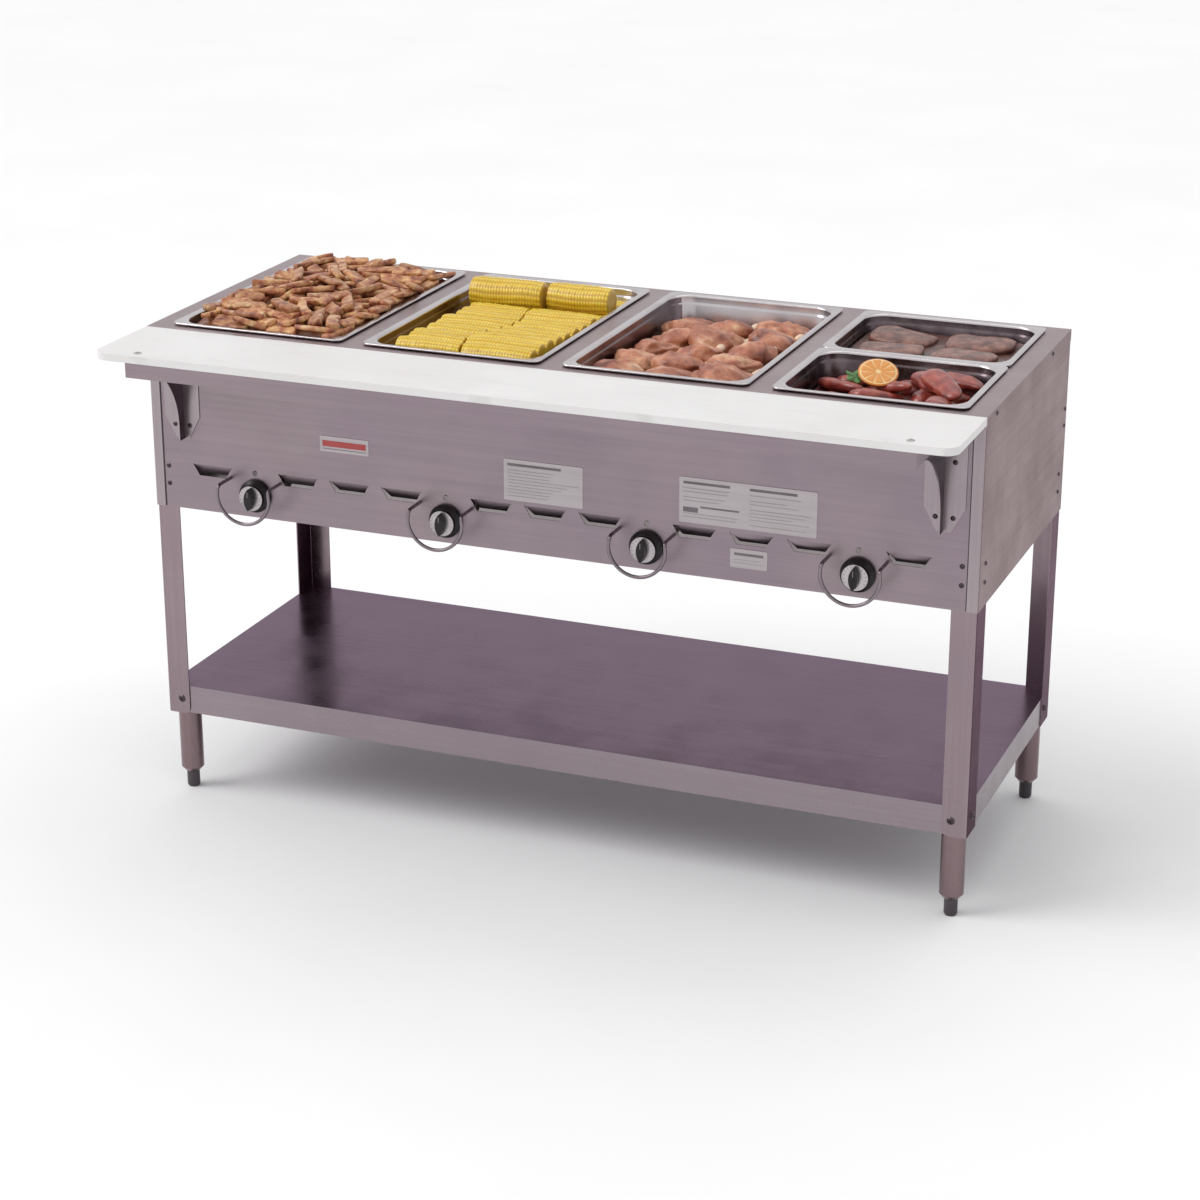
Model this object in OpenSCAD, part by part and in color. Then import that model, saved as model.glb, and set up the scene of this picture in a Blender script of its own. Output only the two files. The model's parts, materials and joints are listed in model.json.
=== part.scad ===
// Four-well gas steam table with a front cutting board, an undershelf and adjustable feet.
// Units are millimetres. +X runs along the length, the front faces -Y and +Z is up.
// The origin is on the floor, at the centre of the whole object's footprint.

/* [Body] */
// Length of the body and of the cutting board
body_len = 1483; // [1440:1:1600]
// Depth of the body from its front face to its back face
body_depth = 570; // [560:1:640]
// Height of the deck above the floor
deck_z = 868; // [850:1:900]
// Height of the body's lower edge above the floor
body_z0 = 545; // [530:1:550]
// Thickness of the outer sheets
sheet = 1.5; // [1:0.1:2]
// Width of the end panels' flanges on the front and the back
wrap_w = 19; // [14:1:24]

/* [Wells and pans] */
// Length of a well's opening along X
well_w = 305; // [300:1:308]
// Depth of a well's opening along Y
well_d = 508; // [500:1:512]
// Distance that a pan's rim reaches past the opening on each side
rim_over = 9.5; // [8:0.5:11]
// Height of a pan's rim above the deck
rim_h = 5; // [4:0.5:6]
// Depth of a shallow pan
pan_shallow = 65; // [60:1:80]
// Depth of the deep pan
pan_deep = 100; // [90:1:120]

/* [Cutting board] */
// Distance that the board reaches out from the body
board_reach = 180; // [150:1:200]
// Thickness of the board
board_t = 12.7; // [10:0.1:16]
// Radius of the board's front corners
board_r = 25; // [10:1:40]
// Half the length of the shelf under the board
apron_half = 680; // [640:1:680]
// Height of the shelf's front lip
apron_h = 26; // [20:1:32]

/* [Legs and undershelf] */
// Width of a leg's flange on the front or the back
leg_front_w = 43; // [36:1:50]
// Width of a leg's flange on the end
leg_side_w = 55; // [45:1:65]
// Height of a leg's lower end above the floor
leg_z0 = 152; // [145:1:160]
// Height of the undershelf's top above the floor
shelf_z = 205; // [200:1:230]
// Outer radius of a foot's tube
foot_r = 20.6; // [18:0.1:21]
// Distance from the body's faces to a foot's centre
foot_in = 29; // [28:0.5:30]

/* [Controls] */
// Height of the knobs' centres
knob_z = 585; // [583:1:590]
// Radius of a knob's skirt
knob_skirt_r = 29; // [25:0.5:32]
// Radius of a knob's barrel and of its bezel
knob_r = 22; // [18:0.5:24]
// Radius of a knob guard, to the middle of the wire
guard_r = 50; // [46:0.5:54]
// Distance from the panel's plane to the front of a guard
guard_reach = 45; // [40:0.5:50]

/* [Hidden] */
$fn = 48;

// Colours
steel = [0.66, 0.62, 0.63];
dark_steel = [0.48, 0.45, 0.46];
board_white = [0.92, 0.92, 0.91];
black = [0.08, 0.08, 0.08];
silver = [0.80, 0.79, 0.80];
brass = [0.78, 0.62, 0.30];
iron = [0.30, 0.29, 0.29];
label_grey = [0.72, 0.70, 0.71];

// Places along Y: the pipe that reaches out of the back balances the board's reach
inlet_reach = 35;
front_y = (board_reach - body_depth - inlet_reach) / 2;
back_y = front_y + body_depth;
mid_y = front_y + body_depth / 2;
half_len = body_len / 2;
far = 1000;
eps = 0.05;

// Sheet planes: the front and back panels sit one sheet in, behind the end panels' flanges
panel_y = front_y + sheet;
inner_y = front_y + 2 * sheet;
inner_x = half_len - sheet;
deck_z0 = deck_z - sheet;
bend_r = 4;
apron_drop = 20;
return_w = 25;

// Wells
well_count = 4;
end_margin = 17.5;
well_pitch = (body_len - 2 * end_margin) / well_count;
well_r = 13;
well_lip = 10;
liner_t = 1;
liner_gap = 2;
liner_flange = 8;
liner_z0 = 620;
liner_z1 = deck_z0;
flame_slot = [70, 380];

// Pans
pan_t = 1;
pan_inset = 11.5;
pan_body_r = 38;
pan_rim_r = 14;
pan_draft = 7;
pan_floor_r = 8;
pan_split = 0.5;
pan_w = well_w + 2 * rim_over;
pan_d = well_d + 2 * rim_over;
half_pan_d = (pan_d - pan_split) / 2;
rim_z = deck_z + rim_h;
food_gap = 1.5;

// Louvres, each a flap cut free at its ends and its foot: reach is how far the foot is bent inwards
louvre_h = 20;
louvre_top = 38;
louvre_foot = 26;
louvre_slit = 2;
louvre_hinge = 0.3;
louvre_z = 609;
louvre_side = 83;
vent_reach = 11;
flue_reach = -8;
flue_z = 800;

// Fasteners: shank radius, head radius, head height
panel_screw = [2.4, 4.5, 2.2];
bracket_screw = [2.4, 4, 2];
board_screw = [3, 7, 2.4];
leg_bolt = [4, 7, 3.5];
hole_gap = 0.2;
leg_screw_z = [588, 620];
end_screw_z = 858;
rear_screw_z = [700, 730];
leg_bolt_z = 180;
bracket_screw_z = [698, 790];
bracket_screw_x = 14.5;
board_screw_x = 665;
board_screw_y = front_y - board_reach + 20;

// Legs, shelf and feet
leg_t = 2;
leg_z1 = 640;
leg_corner_r = 12;
shelf_sheet = 1.2;
shelf_lip = 51;
foot_z0 = 40;
foot_neck_z = 32;
foot_neck_r = 14;
insert_r = 11.5;
stem_r = 8;
run_gap = 0.05;

// Controls
valve_y = front_y + 30;
valve_len = 38;
valve_r = 12;
valve_stem_r = 4;
knob_back = 3;
knob_skirt_y = panel_y - 13;
knob_face_y = panel_y - 20;
grip_y = panel_y - 32;
bezel_t = 2;
guard_wire_r = 3;
guard_z = 597;
guard_lift = 17;
sight_z = 625;
sight_r = 5;

// Gas
pipe_r = 10.67;
pipe_bore = 8;
inlet_r = 10.6;
inlet_collar = 8;
manifold_y = front_y + 50;
manifold_z = 558;
boss_z = 572;
supply_x = 640;
burner_r = 16;
burner_t = 1.5;
burner_y = [front_y + 92, front_y + 480];
rail_y = [front_y + 150, front_y + 430];
rail_z = [body_z0 + 2, body_z0 + 30];
regulator_y = [front_y + 458, front_y + 520];
pilot_x = 30;

function well_x(i) = (i - (well_count + 1) / 2) * well_pitch;

// A box between two corners
module box(lo, hi) {
    translate(lo) cube(hi - lo);
}

module rod_y(x, z, y0, y1, r) {
    translate([x, y0, z]) rotate([-90, 0, 0]) cylinder(r = r, h = y1 - y0);
}

module rod_x(y, z, x0, x1, r) {
    translate([x0, y, z]) rotate([0, 90, 0]) cylinder(r = r, h = x1 - x0);
}

module rod_z(x, y, z0, z1, r) {
    translate([x, y, z0]) cylinder(r = r, h = z1 - z0);
}

module rounded_rect(w, d, r) {
    square([w - 2 * r, d], center = true);
    square([w, d - 2 * r], center = true);
    for (sx = [-1, 1], sy = [-1, 1])
        translate([sx * (w / 2 - r), sy * (d / 2 - r)]) circle(r);
}

module rounded_block(centre, w, d, r, z0, z1) {
    translate([centre[0], centre[1], z0]) linear_extrude(z1 - z0) rounded_rect(w, d, r);
}

// A solid swept up through rounded rectangles, each [x, y, width, depth, corner radius, z]
corner_steps = 5;
function ring(s) = [
    for (q = [0:3], k = [0:corner_steps])
        let (
            a = 90 * (q + k / corner_steps),
            cx = s[0] + (q == 0 || q == 3 ? 1 : -1) * (s[2] / 2 - s[4]),
            cy = s[1] + (q < 2 ? 1 : -1) * (s[3] / 2 - s[4])
        )
            [cx + s[4] * cos(a), cy + s[4] * sin(a), s[5]]
];

module loft(sections) {
    n = 4 * (corner_steps + 1);
    m = len(sections);
    points = [for (s = sections) each ring(s)];
    sides = [
        for (i = [0:m - 2], j = [0:n - 1])
            [i * n + j, (i + 1) * n + j, (i + 1) * n + (j + 1) % n, i * n + (j + 1) % n]
    ];
    first = [for (j = [0:n - 1]) j];
    last = [for (j = [0:n - 1]) m * n - 1 - j];
    polyhedron(points = points, faces = concat([first], sides, [last]), convexity = 6);
}

// A dome-headed screw at the origin: the head rises along +Z and the shank goes down
module screw(size, shank) {
    cap_r = (size[1] * size[1] + size[2] * size[2]) / (2 * size[2]);
    intersection() {
        translate([0, 0, size[2] - cap_r]) sphere(cap_r);
        cylinder(r = size[1], h = size[2]);
    }
    translate([0, 0, -shank]) cylinder(r = size[0], h = shank + eps);
}

// Every sheet-metal screw: [x, y, z, rotation], the head's seat facing outwards
leg_x = half_len - sheet - leg_front_w / 2 - 6;
face_front = [90, 0, 0];
face_back = [-90, 0, 0];
function face_end(s) = [0, 90 * s, 0];
front_screws = [for (s = [-1, 1], z = leg_screw_z) [s * leg_x, panel_y, z, face_front]];
back_screws = [for (s = [-1, 1], z = leg_screw_z) [s * leg_x, back_y - sheet, z, face_back]];
leg_end_screws = [
    for (s = [-1, 1], y = [front_y + 36, back_y - 36], z = leg_screw_z)
        [s * half_len, y, z - 2, face_end(s)]
];
deck_screws = [
    for (s = [-1, 1], y = [front_y + 63, front_y + 437])
        [s * half_len, y, end_screw_z, face_end(s)]
];
rear_screws = [for (s = [-1, 1], z = rear_screw_z) [s * half_len, back_y - 15, z, face_end(s)]];
bracket_screws = [
    for (s = [-1, 1], dx = [-bracket_screw_x, bracket_screw_x], z = bracket_screw_z)
        [s * apron_half + dx, front_y, z, face_front]
];

module at_screw(p) {
    translate([p[0], p[1], p[2]]) rotate(p[3]) children();
}

module screw_holes(list, r) {
    for (p = list)
        at_screw(p) translate([0, 0, -12]) cylinder(r = r + hole_gap, h = 14);
}

// A louvre's window in a sheet whose outer face is the plane Y = 0
module louvre_window() {
    foot = [[-louvre_foot, 0], [louvre_foot, 0]];
    translate([0, sheet + 1, 0]) rotate([90, 0, 0])
        linear_extrude(sheet + 2) polygon(concat(foot, [[louvre_top, louvre_h], [-louvre_top, louvre_h]]));
}

// The flap in a louvre's window: it hangs from the window's top edge
module louvre_flap(reach) {
    a = louvre_top - louvre_slit;
    b = louvre_foot - louvre_slit;
    y1 = reach + sheet;
    points = [
        [-a, 0, louvre_h], [a, 0, louvre_h], [a, sheet, louvre_h], [-a, sheet, louvre_h],
        [-b, reach, louvre_slit], [b, reach, louvre_slit], [b, y1, louvre_slit], [-b, y1, louvre_slit]
    ];
    faces = [[0, 3, 2, 1], [4, 5, 6, 7], [0, 1, 5, 4], [3, 7, 6, 2], [1, 2, 6, 5], [3, 0, 4, 7]];
    polyhedron(points = points, faces = faces, convexity = 2);
    box([1 - a, louvre_hinge, louvre_h - louvre_hinge], [a - 1, sheet - louvre_hinge, louvre_h + 1]);
}

knob_louvres = [for (i = [1:well_count], s = [-1, 1]) well_x(i) + s * louvre_side];
mid_louvres = [for (i = [1:well_count - 1]) (well_x(i) + well_x(i + 1)) / 2];
front_louvres = concat(knob_louvres, mid_louvres);

module front_panel() {
    half = inner_x - bend_r + 1;
    color(steel) for (x = front_louvres)
        translate([x, panel_y, louvre_z]) louvre_flap(vent_reach);
    color(steel) difference() {
        union() {
            box([-half, panel_y, body_z0], [half, inner_y, deck_z0]);
            box([-half + 50, inner_y - eps, body_z0], [half - 50, inner_y + return_w, body_z0 + sheet]);
        }
        for (x = front_louvres)
            translate([x, panel_y, louvre_z]) louvre_window();
        for (i = [1:well_count]) {
            rod_y(well_x(i), knob_z, panel_y - 1, inner_y + 1, valve_stem_r + 2);
            rod_y(well_x(i), sight_z, panel_y - 1, inner_y + 1, sight_r);
        }
        screw_holes(front_screws, panel_screw[0]);
        screw_holes(bracket_screws, bracket_screw[0]);
    }
}

module back_panel() {
    half = inner_x - bend_r + 1;
    outer = back_y - sheet;
    inner = back_y - 2 * sheet;
    joggle = inner - bend_r;
    flange_z0 = leg_z1 + 5;
    flange_z1 = end_screw_z - 15;
    color(steel) for (x = knob_louvres)
        translate([x, outer, flue_z]) rotate([0, 0, 180]) louvre_flap(flue_reach);
    color(steel) difference() {
        union() {
            box([-half, inner, body_z0], [half, outer, deck_z0]);
            box([-half + 50, inner - return_w, body_z0], [half - 50, inner + eps, body_z0 + sheet]);
            for (s = [-1, 1])
                mirror([s < 0 ? 1 : 0, 0, 0]) {
                    box([half - sheet, joggle, flange_z0], [half, inner + eps, flange_z1]);
                    box([half - sheet, joggle, flange_z0], [inner_x, joggle + sheet, flange_z1]);
                    box([inner_x - sheet, inner - return_w, flange_z0],
                        [inner_x, joggle + sheet, flange_z1]);
                }
        }
        for (x = knob_louvres)
            translate([x, outer, flue_z]) rotate([0, 0, 180]) louvre_window();
        rod_y(supply_x, manifold_z, inner - 1, outer + 1, pipe_r + 3);
        screw_holes(back_screws, panel_screw[0]);
        screw_holes(rear_screws, panel_screw[0]);
    }
}

// The right end panel: a C in plan, with its flanges on the front and the back
module end_panel_right() {
    difference() {
        union() {
            difference() {
                rounded_block([0, mid_y], body_len, body_depth, bend_r, body_z0, deck_z - apron_drop);
                rounded_block([0, mid_y], body_len - 2 * sheet, body_depth - 2 * sheet, bend_r - sheet,
                    body_z0 - 1, deck_z);
                box([-far, -far, 0], [half_len - wrap_w, far, far]);
            }
            box([inner_x, front_y, deck_z - apron_drop - eps], [half_len, back_y, deck_z]);
            box([inner_x - return_w, front_y + 75, body_z0], [inner_x + eps, back_y - 75, body_z0 + sheet]);
        }
        screw_holes(leg_end_screws, panel_screw[0]);
        screw_holes(deck_screws, panel_screw[0]);
        screw_holes(rear_screws, panel_screw[0]);
    }
}

module right_end_panel() {
    color(steel) end_panel_right();
}

module left_end_panel() {
    color(steel) mirror([1, 0, 0]) end_panel_right();
}

module top_deck() {
    color(steel) difference() {
        union() {
            box([-inner_x, front_y, deck_z0], [inner_x, back_y, deck_z]);
            box([-inner_x, front_y, deck_z - apron_drop], [inner_x, panel_y, deck_z]);
            box([-inner_x, back_y - sheet, deck_z - apron_drop], [inner_x, back_y, deck_z]);
            for (s = [-1, 1])
                mirror([s < 0 ? 1 : 0, 0, 0])
                    box([inner_x - sheet, inner_y + 5, deck_z - apron_drop], [inner_x, back_y - 8, deck_z]);
            for (i = [1:well_count])
                rounded_block([well_x(i), mid_y], well_w + 2 * sheet, well_d + 2 * sheet, well_r + sheet,
                    deck_z - well_lip, deck_z);
        }
        for (i = [1:well_count])
            rounded_block([well_x(i), mid_y], well_w, well_d, well_r, deck_z - 2 * well_lip, deck_z + 1);
        screw_holes(deck_screws, panel_screw[0]);
    }
}

module well_liner(i) {
    w = well_w + 2 * liner_gap;
    d = well_d + 2 * liner_gap;
    c = [well_x(i), mid_y];
    color(dark_steel) difference() {
        union() {
            rounded_block(c, w + 2 * liner_t, d + 2 * liner_t, well_r + liner_gap + liner_t,
                liner_z0, liner_z1);
            rounded_block(c, w + 2 * liner_flange, d + 2 * liner_flange, well_r + liner_flange,
                liner_z1 - liner_t, liner_z1);
        }
        rounded_block(c, w, d, well_r + liner_gap, liner_z0 + liner_t, liner_z1 + 1);
        rounded_block(c, flame_slot[0], flame_slot[1], 10, liner_z0 - 1, liner_z0 + 2 * liner_t);
    }
}

module insulation() {
    end_x = well_x(well_count) + well_w / 2 + 5;
    z0 = leg_z1 + 10;
    z1 = deck_z0 - 8;
    color([0.93, 0.86, 0.62]) {
        box([-end_x, front_y + 10, z0], [end_x, front_y + 27, z1]);
        box([-end_x, back_y - 27, z0], [end_x, back_y - 10, z1]);
        for (s = [-1, 1])
            mirror([s < 0 ? 1 : 0, 0, 0])
                box([end_x + 5, front_y + 30, z0], [inner_x - 12, back_y - 35, z1]);
    }
}

// A leg for the right front corner: an angle with rounded lower corners
module leg_shape() {
    x1 = inner_x;
    difference() {
        rounded_block([0, mid_y], 2 * x1, 2 * (mid_y - inner_y), bend_r, leg_z0, leg_z1);
        rounded_block([0, mid_y], 2 * (x1 - leg_t), 2 * (mid_y - inner_y - leg_t), bend_r - leg_t,
            leg_z0 - 1, leg_z1 + 1);
        box([-far, -far, 0], [x1 - leg_front_w, far, far]);
        box([-far, inner_y + leg_side_w, 0], [far, far, far]);
        leg_corner_cut([x1 - leg_front_w, inner_y - 1, leg_z0], [0, 0, 0]);
        leg_corner_cut([x1 + 1, inner_y + leg_side_w, leg_z0], [0, 0, -90]);
        screw_holes(front_screws, panel_screw[0]);
        screw_holes(leg_end_screws, panel_screw[0]);
        screw_holes(leg_bolts_at, leg_bolt[0]);
    }
}

// Rounds the lower corner of a flange whose free edge is at the origin and which runs along +X
module leg_corner_cut(at, turn) {
    translate(at) rotate(turn) difference() {
        box([-1, -1, -1], [leg_corner_r, leg_t + 3, leg_corner_r]);
        rod_y(leg_corner_r, leg_corner_r, -2, leg_t + 4, leg_corner_r);
    }
}

leg_bolts_at = [
    for (s = [-1, 1], e = [-1, 1], k = [0, 1])
        k == 0
            ? [s * leg_x, mid_y + e * (mid_y - inner_y), leg_bolt_z, e < 0 ? face_front : face_back]
            : [s * inner_x, mid_y + e * (body_depth / 2 - 36), leg_bolt_z, face_end(s)]
];

module leg(right, front) {
    color(steel)
        translate([0, front ? 0 : 2 * mid_y, 0])
            mirror([0, front ? 0 : 1, 0]) mirror([right ? 0 : 1, 0, 0]) leg_shape();
}

module undershelf() {
    x1 = inner_x - leg_t;
    y_half = mid_y - inner_y - leg_t;
    color(steel) difference() {
        rounded_block([0, mid_y], 2 * x1, 2 * y_half, 3, shelf_z - shelf_lip, shelf_z);
        rounded_block([0, mid_y], 2 * (x1 - shelf_sheet), 2 * (y_half - shelf_sheet), 3 - shelf_sheet,
            shelf_z - shelf_lip - 1, shelf_z - shelf_sheet);
        screw_holes(leg_bolts_at, leg_bolt[0]);
    }
}

// Feet, numbered clockwise from the front left
function foot_x(k) = (k == 1 || k == 4 ? -1 : 1) * (half_len - foot_in);
function foot_y(k) = k < 3 ? front_y + foot_in : back_y - foot_in;

module foot_tubes() {
    top = shelf_z - shelf_sheet;
    plate = 50;
    color(steel) for (k = [1:4])
        difference() {
            union() {
                box(
                    [foot_x(k) - (foot_x(k) < 0 ? foot_r : plate - foot_r),
                        foot_y(k) - (k < 3 ? foot_r : plate - foot_r), top - 3],
                    [foot_x(k) + (foot_x(k) < 0 ? plate - foot_r : foot_r),
                        foot_y(k) + (k < 3 ? plate - foot_r : foot_r), top]
                );
                rod_z(foot_x(k), foot_y(k), foot_z0, top - 2, foot_r);
                translate([foot_x(k), foot_y(k), foot_neck_z])
                    cylinder(r1 = foot_neck_r, r2 = foot_r, h = foot_z0 - foot_neck_z + eps);
            }
            rod_z(foot_x(k), foot_y(k), foot_z0 + 25, top - 3, foot_r - 1.5);
            rod_z(foot_x(k), foot_y(k), 0, foot_z0 + 26, stem_r + run_gap);
        }
}

module foot_insert(k) {
    color(black) {
        rod_z(foot_x(k), foot_y(k), 4, foot_neck_z, insert_r);
        translate([foot_x(k), foot_y(k), 0]) cylinder(r1 = insert_r - 2, r2 = insert_r, h = 4 + eps);
        rod_z(foot_x(k), foot_y(k), foot_neck_z - eps, foot_z0 + 80, stem_r);
    }
}

module cutting_board() {
    y0 = front_y - board_reach;
    color(board_white) difference() {
        translate([0, 0, deck_z - board_t]) linear_extrude(board_t) {
            translate([-half_len, y0 + board_r]) square([body_len, board_reach - board_r]);
            translate([-half_len + board_r, y0]) square([body_len - 2 * board_r, board_reach]);
            for (s = [-1, 1])
                translate([s * (half_len - board_r), y0 + board_r]) circle(board_r);
        }
        for (s = [-1, 1])
            rod_z(s * board_screw_x, board_screw_y, 0, far, board_screw[0] + hole_gap);
    }
}

module board_screws() {
    for (s = [-1, 1])
        color(silver) translate([s * board_screw_x, board_screw_y, deck_z]) screw(board_screw, board_t + 6);
}

module board_shelf() {
    z1 = deck_z - board_t;
    z0 = z1 - apron_h;
    y0 = front_y - board_reach + 2;
    color(steel) difference() {
        box([-apron_half, y0, z0], [apron_half, front_y, z1]);
        box([-apron_half + sheet, y0 + sheet, z0 - 1], [apron_half - sheet, front_y - sheet, z1 - sheet]);
        for (s = [-1, 1])
            rod_z(s * board_screw_x, board_screw_y, 0, far, board_screw[0] + hole_gap);
    }
}

// A gusset for the right end of the board's shelf: a plate on the body and one web,
// whose front edge is an arc that ends level with the shelf's lip
bracket_z0 = 674;
bracket_half = 34;
bracket_foot = 12;
bracket_taper = 40;
bracket_tip = 158;
bracket_root = 18;
bracket_arc = 130;
web_t = 2.5;

module bracket_web(lip_z, top) {
    difference() {
        translate([-bracket_tip, bracket_z0]) square([bracket_tip, top - bracket_z0]);
        translate([-bracket_root - bracket_arc, lip_z - bracket_arc]) circle(bracket_arc);
        translate([-bracket_tip - 1, bracket_z0 - 1])
            square([bracket_tip - bracket_root + 1, lip_z - bracket_arc - bracket_z0 + 1]);
    }
}

module bracket_plate(lip_z) {
    polygon([
        [-bracket_half, lip_z], [bracket_half, lip_z], [bracket_half, bracket_z0 + bracket_taper],
        [bracket_foot, bracket_z0], [-bracket_foot, bracket_z0], [-bracket_half, bracket_z0 + bracket_taper]
    ]);
}

module bracket_right() {
    top = deck_z - board_t - sheet;
    lip_z = deck_z - board_t - apron_h;
    edge = apron_half - sheet;
    difference() {
        union() {
            translate([apron_half, panel_y, 0]) rotate([90, 0, 0])
                linear_extrude(sheet) bracket_plate(lip_z);
            translate([edge - web_t, front_y, 0]) rotate([90, 0, 90])
                linear_extrude(web_t) bracket_web(lip_z, top);
            box([edge - bracket_half, front_y - bracket_tip, top - sheet],
                [edge, front_y - sheet - 1, top]);
        }
        box([0, front_y - sheet, lip_z], [far, far, far]);
        screw_holes(bracket_screws, bracket_screw[0]);
        rod_z(board_screw_x, board_screw_y, 0, far, board_screw[0] + 1);
    }
}

module board_bracket_right() {
    color(steel) bracket_right();
}

module board_bracket_left() {
    color(steel) mirror([1, 0, 0]) bracket_right();
}

module panel_screws() {
    color(silver) {
        for (p = concat(front_screws, back_screws, leg_end_screws, deck_screws, rear_screws))
            at_screw(p) screw(panel_screw, 6);
        for (p = bracket_screws)
            at_screw(p) screw(bracket_screw, 8);
    }
}

module leg_bolts() {
    nut_t = 1.8;
    color(silver) for (p = leg_bolts_at)
        at_screw(p) {
            screw(leg_bolt, leg_t + shelf_sheet + nut_t);
            translate([0, 0, -leg_t - shelf_sheet - nut_t]) cylinder(r = 7, h = nut_t, $fn = 6);
        }
}

module gas_manifold() {
    x0 = well_x(1) - 40;
    color(iron) difference() {
        union() {
            rod_x(manifold_y, manifold_z, x0, supply_x, pipe_r);
            rod_x(manifold_y, manifold_z, x0 - 12, x0 + 10, pipe_r + 3);
            rod_x(manifold_y, manifold_z, supply_x - 26, supply_x - 8, pipe_r + 3);
            translate([supply_x, manifold_y, manifold_z]) sphere(pipe_r + 3);
            rod_y(supply_x, manifold_z, manifold_y + 8, manifold_y + 26, pipe_r + 3);
            rod_y(supply_x, manifold_z, manifold_y, regulator_y[0], pipe_r);
            for (i = [1:well_count]) {
                rod_z(well_x(i), manifold_y, manifold_z, boss_z, 9);
                rod_z(well_x(i) + pilot_x, manifold_y, manifold_z, boss_z, 5);
            }
        }
        rod_x(manifold_y, manifold_z, x0, supply_x, pipe_bore);
        rod_y(supply_x, manifold_z, manifold_y, regulator_y[0] + 1, pipe_bore);
        for (i = [1:well_count])
            rod_z(well_x(i), manifold_y, manifold_z, boss_z + 1, 3);
    }
}

module gas_valves() {
    for (i = [1:well_count]) {
        x = well_x(i);
        color(brass) difference() {
            union() {
                rod_y(x, knob_z, valve_y, valve_y + valve_len, valve_r);
                rod_y(x, knob_z, valve_y - 10, valve_y + 1, valve_r - 3);
                rod_z(x, manifold_y, boss_z, knob_z, 7);
                rod_y(x, knob_z, valve_y + valve_len - 1, valve_y + valve_len + 8, 6);
                translate([x, valve_y + valve_len + 4, knob_z]) rotate([-90, 0, 0])
                    cylinder(r = 8, h = 10, $fn = 6);
            }
            rod_y(x, knob_z, valve_y - 11, valve_y + 16, valve_stem_r + run_gap);
            rod_y(x, knob_z, valve_y + 24, valve_y + valve_len + 10, 3);
            rod_z(x, manifold_y, boss_z - 1, knob_z, 3);
        }
    }
}

module pilot_tubes() {
    top = knob_z + 22;
    for (i = [1:well_count]) {
        x = well_x(i) + pilot_x;
        color(silver) {
            rod_z(x, manifold_y, boss_z, top, 3);
            translate([x, manifold_y, top]) sphere(3);
            rod_y(x, top, manifold_y, burner_y[0] + 48, 3);
            rod_y(x, top, burner_y[0] + 47, burner_y[0] + 62, 5);
        }
    }
}

module burners() {
    slot_pitch = 22;
    slot_count = 15;
    for (i = [1:well_count]) {
        x = well_x(i);
        color(iron) difference() {
            union() {
                rod_y(x, knob_z, burner_y[0], burner_y[1], burner_r);
                rod_y(x, knob_z, burner_y[0], burner_y[0] + 4, burner_r + 4);
            }
            rod_y(x, knob_z, burner_y[0] + 3, burner_y[1] - 3, burner_r - burner_t);
            rod_y(x, knob_z, burner_y[0] - 1, burner_y[0] + 4, 9);
            for (k = [0:slot_count - 1])
                translate([x, burner_y[0] + 40 + slot_pitch * k, knob_z])
                    box([-6, 0, 0], [6, 2, burner_r + 1]);
        }
    }
}

module burner_rails() {
    tab = 20;
    for (y = rail_y)
        color(dark_steel) difference() {
            union() {
                box([-inner_x, y, rail_z[0]], [inner_x, y + 3, rail_z[1]]);
                for (s = [-1, 1])
                    mirror([s < 0 ? 1 : 0, 0, 0])
                        box([inner_x - 2, y, rail_z[0]], [inner_x, y + tab, rail_z[1]]);
            }
            for (i = [1:well_count])
                rod_y(well_x(i), knob_z, y - 1, y + 4, burner_r + run_gap);
            rod_y(supply_x, manifold_z, y - 1, y + 4, pipe_r + 0.5);
        }
}

module pressure_regulator() {
    c = (regulator_y[0] + regulator_y[1]) / 2;
    color([0.55, 0.56, 0.58]) difference() {
        union() {
            rod_y(supply_x, manifold_z, regulator_y[0], regulator_y[1], pipe_r + 4);
            rod_z(supply_x, c, manifold_z - 10, manifold_z + 20, 20);
            rod_z(supply_x, c, manifold_z + 16, manifold_z + 22, 29);
            translate([supply_x, c, manifold_z + 22]) cylinder(r1 = 27, r2 = 14, h = 14);
            rod_z(supply_x, c, manifold_z + 34, manifold_z + 48, 9);
        }
        rod_y(supply_x, manifold_z, regulator_y[0] - 1, regulator_y[1] + 1, pipe_bore);
    }
}

// The threaded end starts at a collar that sits outside the back panel
module gas_inlet_pipe() {
    collar_y = back_y - sheet;
    color(iron) difference() {
        union() {
            rod_y(supply_x, manifold_z, regulator_y[1], collar_y + 1, pipe_r);
            rod_y(supply_x, manifold_z, collar_y, collar_y + inlet_collar, pipe_r + 6);
            rod_y(supply_x, manifold_z, collar_y + inlet_collar - 1, back_y + inlet_reach, inlet_r);
        }
        rod_y(supply_x, manifold_z, regulator_y[1] - 1, back_y + inlet_reach + 1, pipe_bore);
    }
}

module valve_stem(i) {
    x = well_x(i);
    color(silver) difference() {
        rod_y(x, knob_z, knob_skirt_y - 2, valve_y + 14, valve_stem_r);
        box([x - 6, knob_skirt_y - 3, knob_z + 2.5], [x + 6, panel_y - knob_back, knob_z + 6]);
    }
}

module knob_bore(x) {
    difference() {
        rod_y(x, knob_z, knob_skirt_y - 2.2, panel_y, valve_stem_r + 0.02);
        box([x - 6, knob_skirt_y - 3, knob_z + 2.52], [x + 6, panel_y - knob_back + eps, knob_z + 6]);
    }
}

// The grip is a lens in front view: two arcs that meet at its top and bottom
module grip_outline() {
    half_h = knob_r - 2.5;
    half_w = 7.5;
    r = (half_h * half_h + half_w * half_w) / (2 * half_w);
    intersection() {
        translate([r - half_w, 0]) circle(r);
        translate([half_w - r, 0]) circle(r);
    }
}

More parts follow.
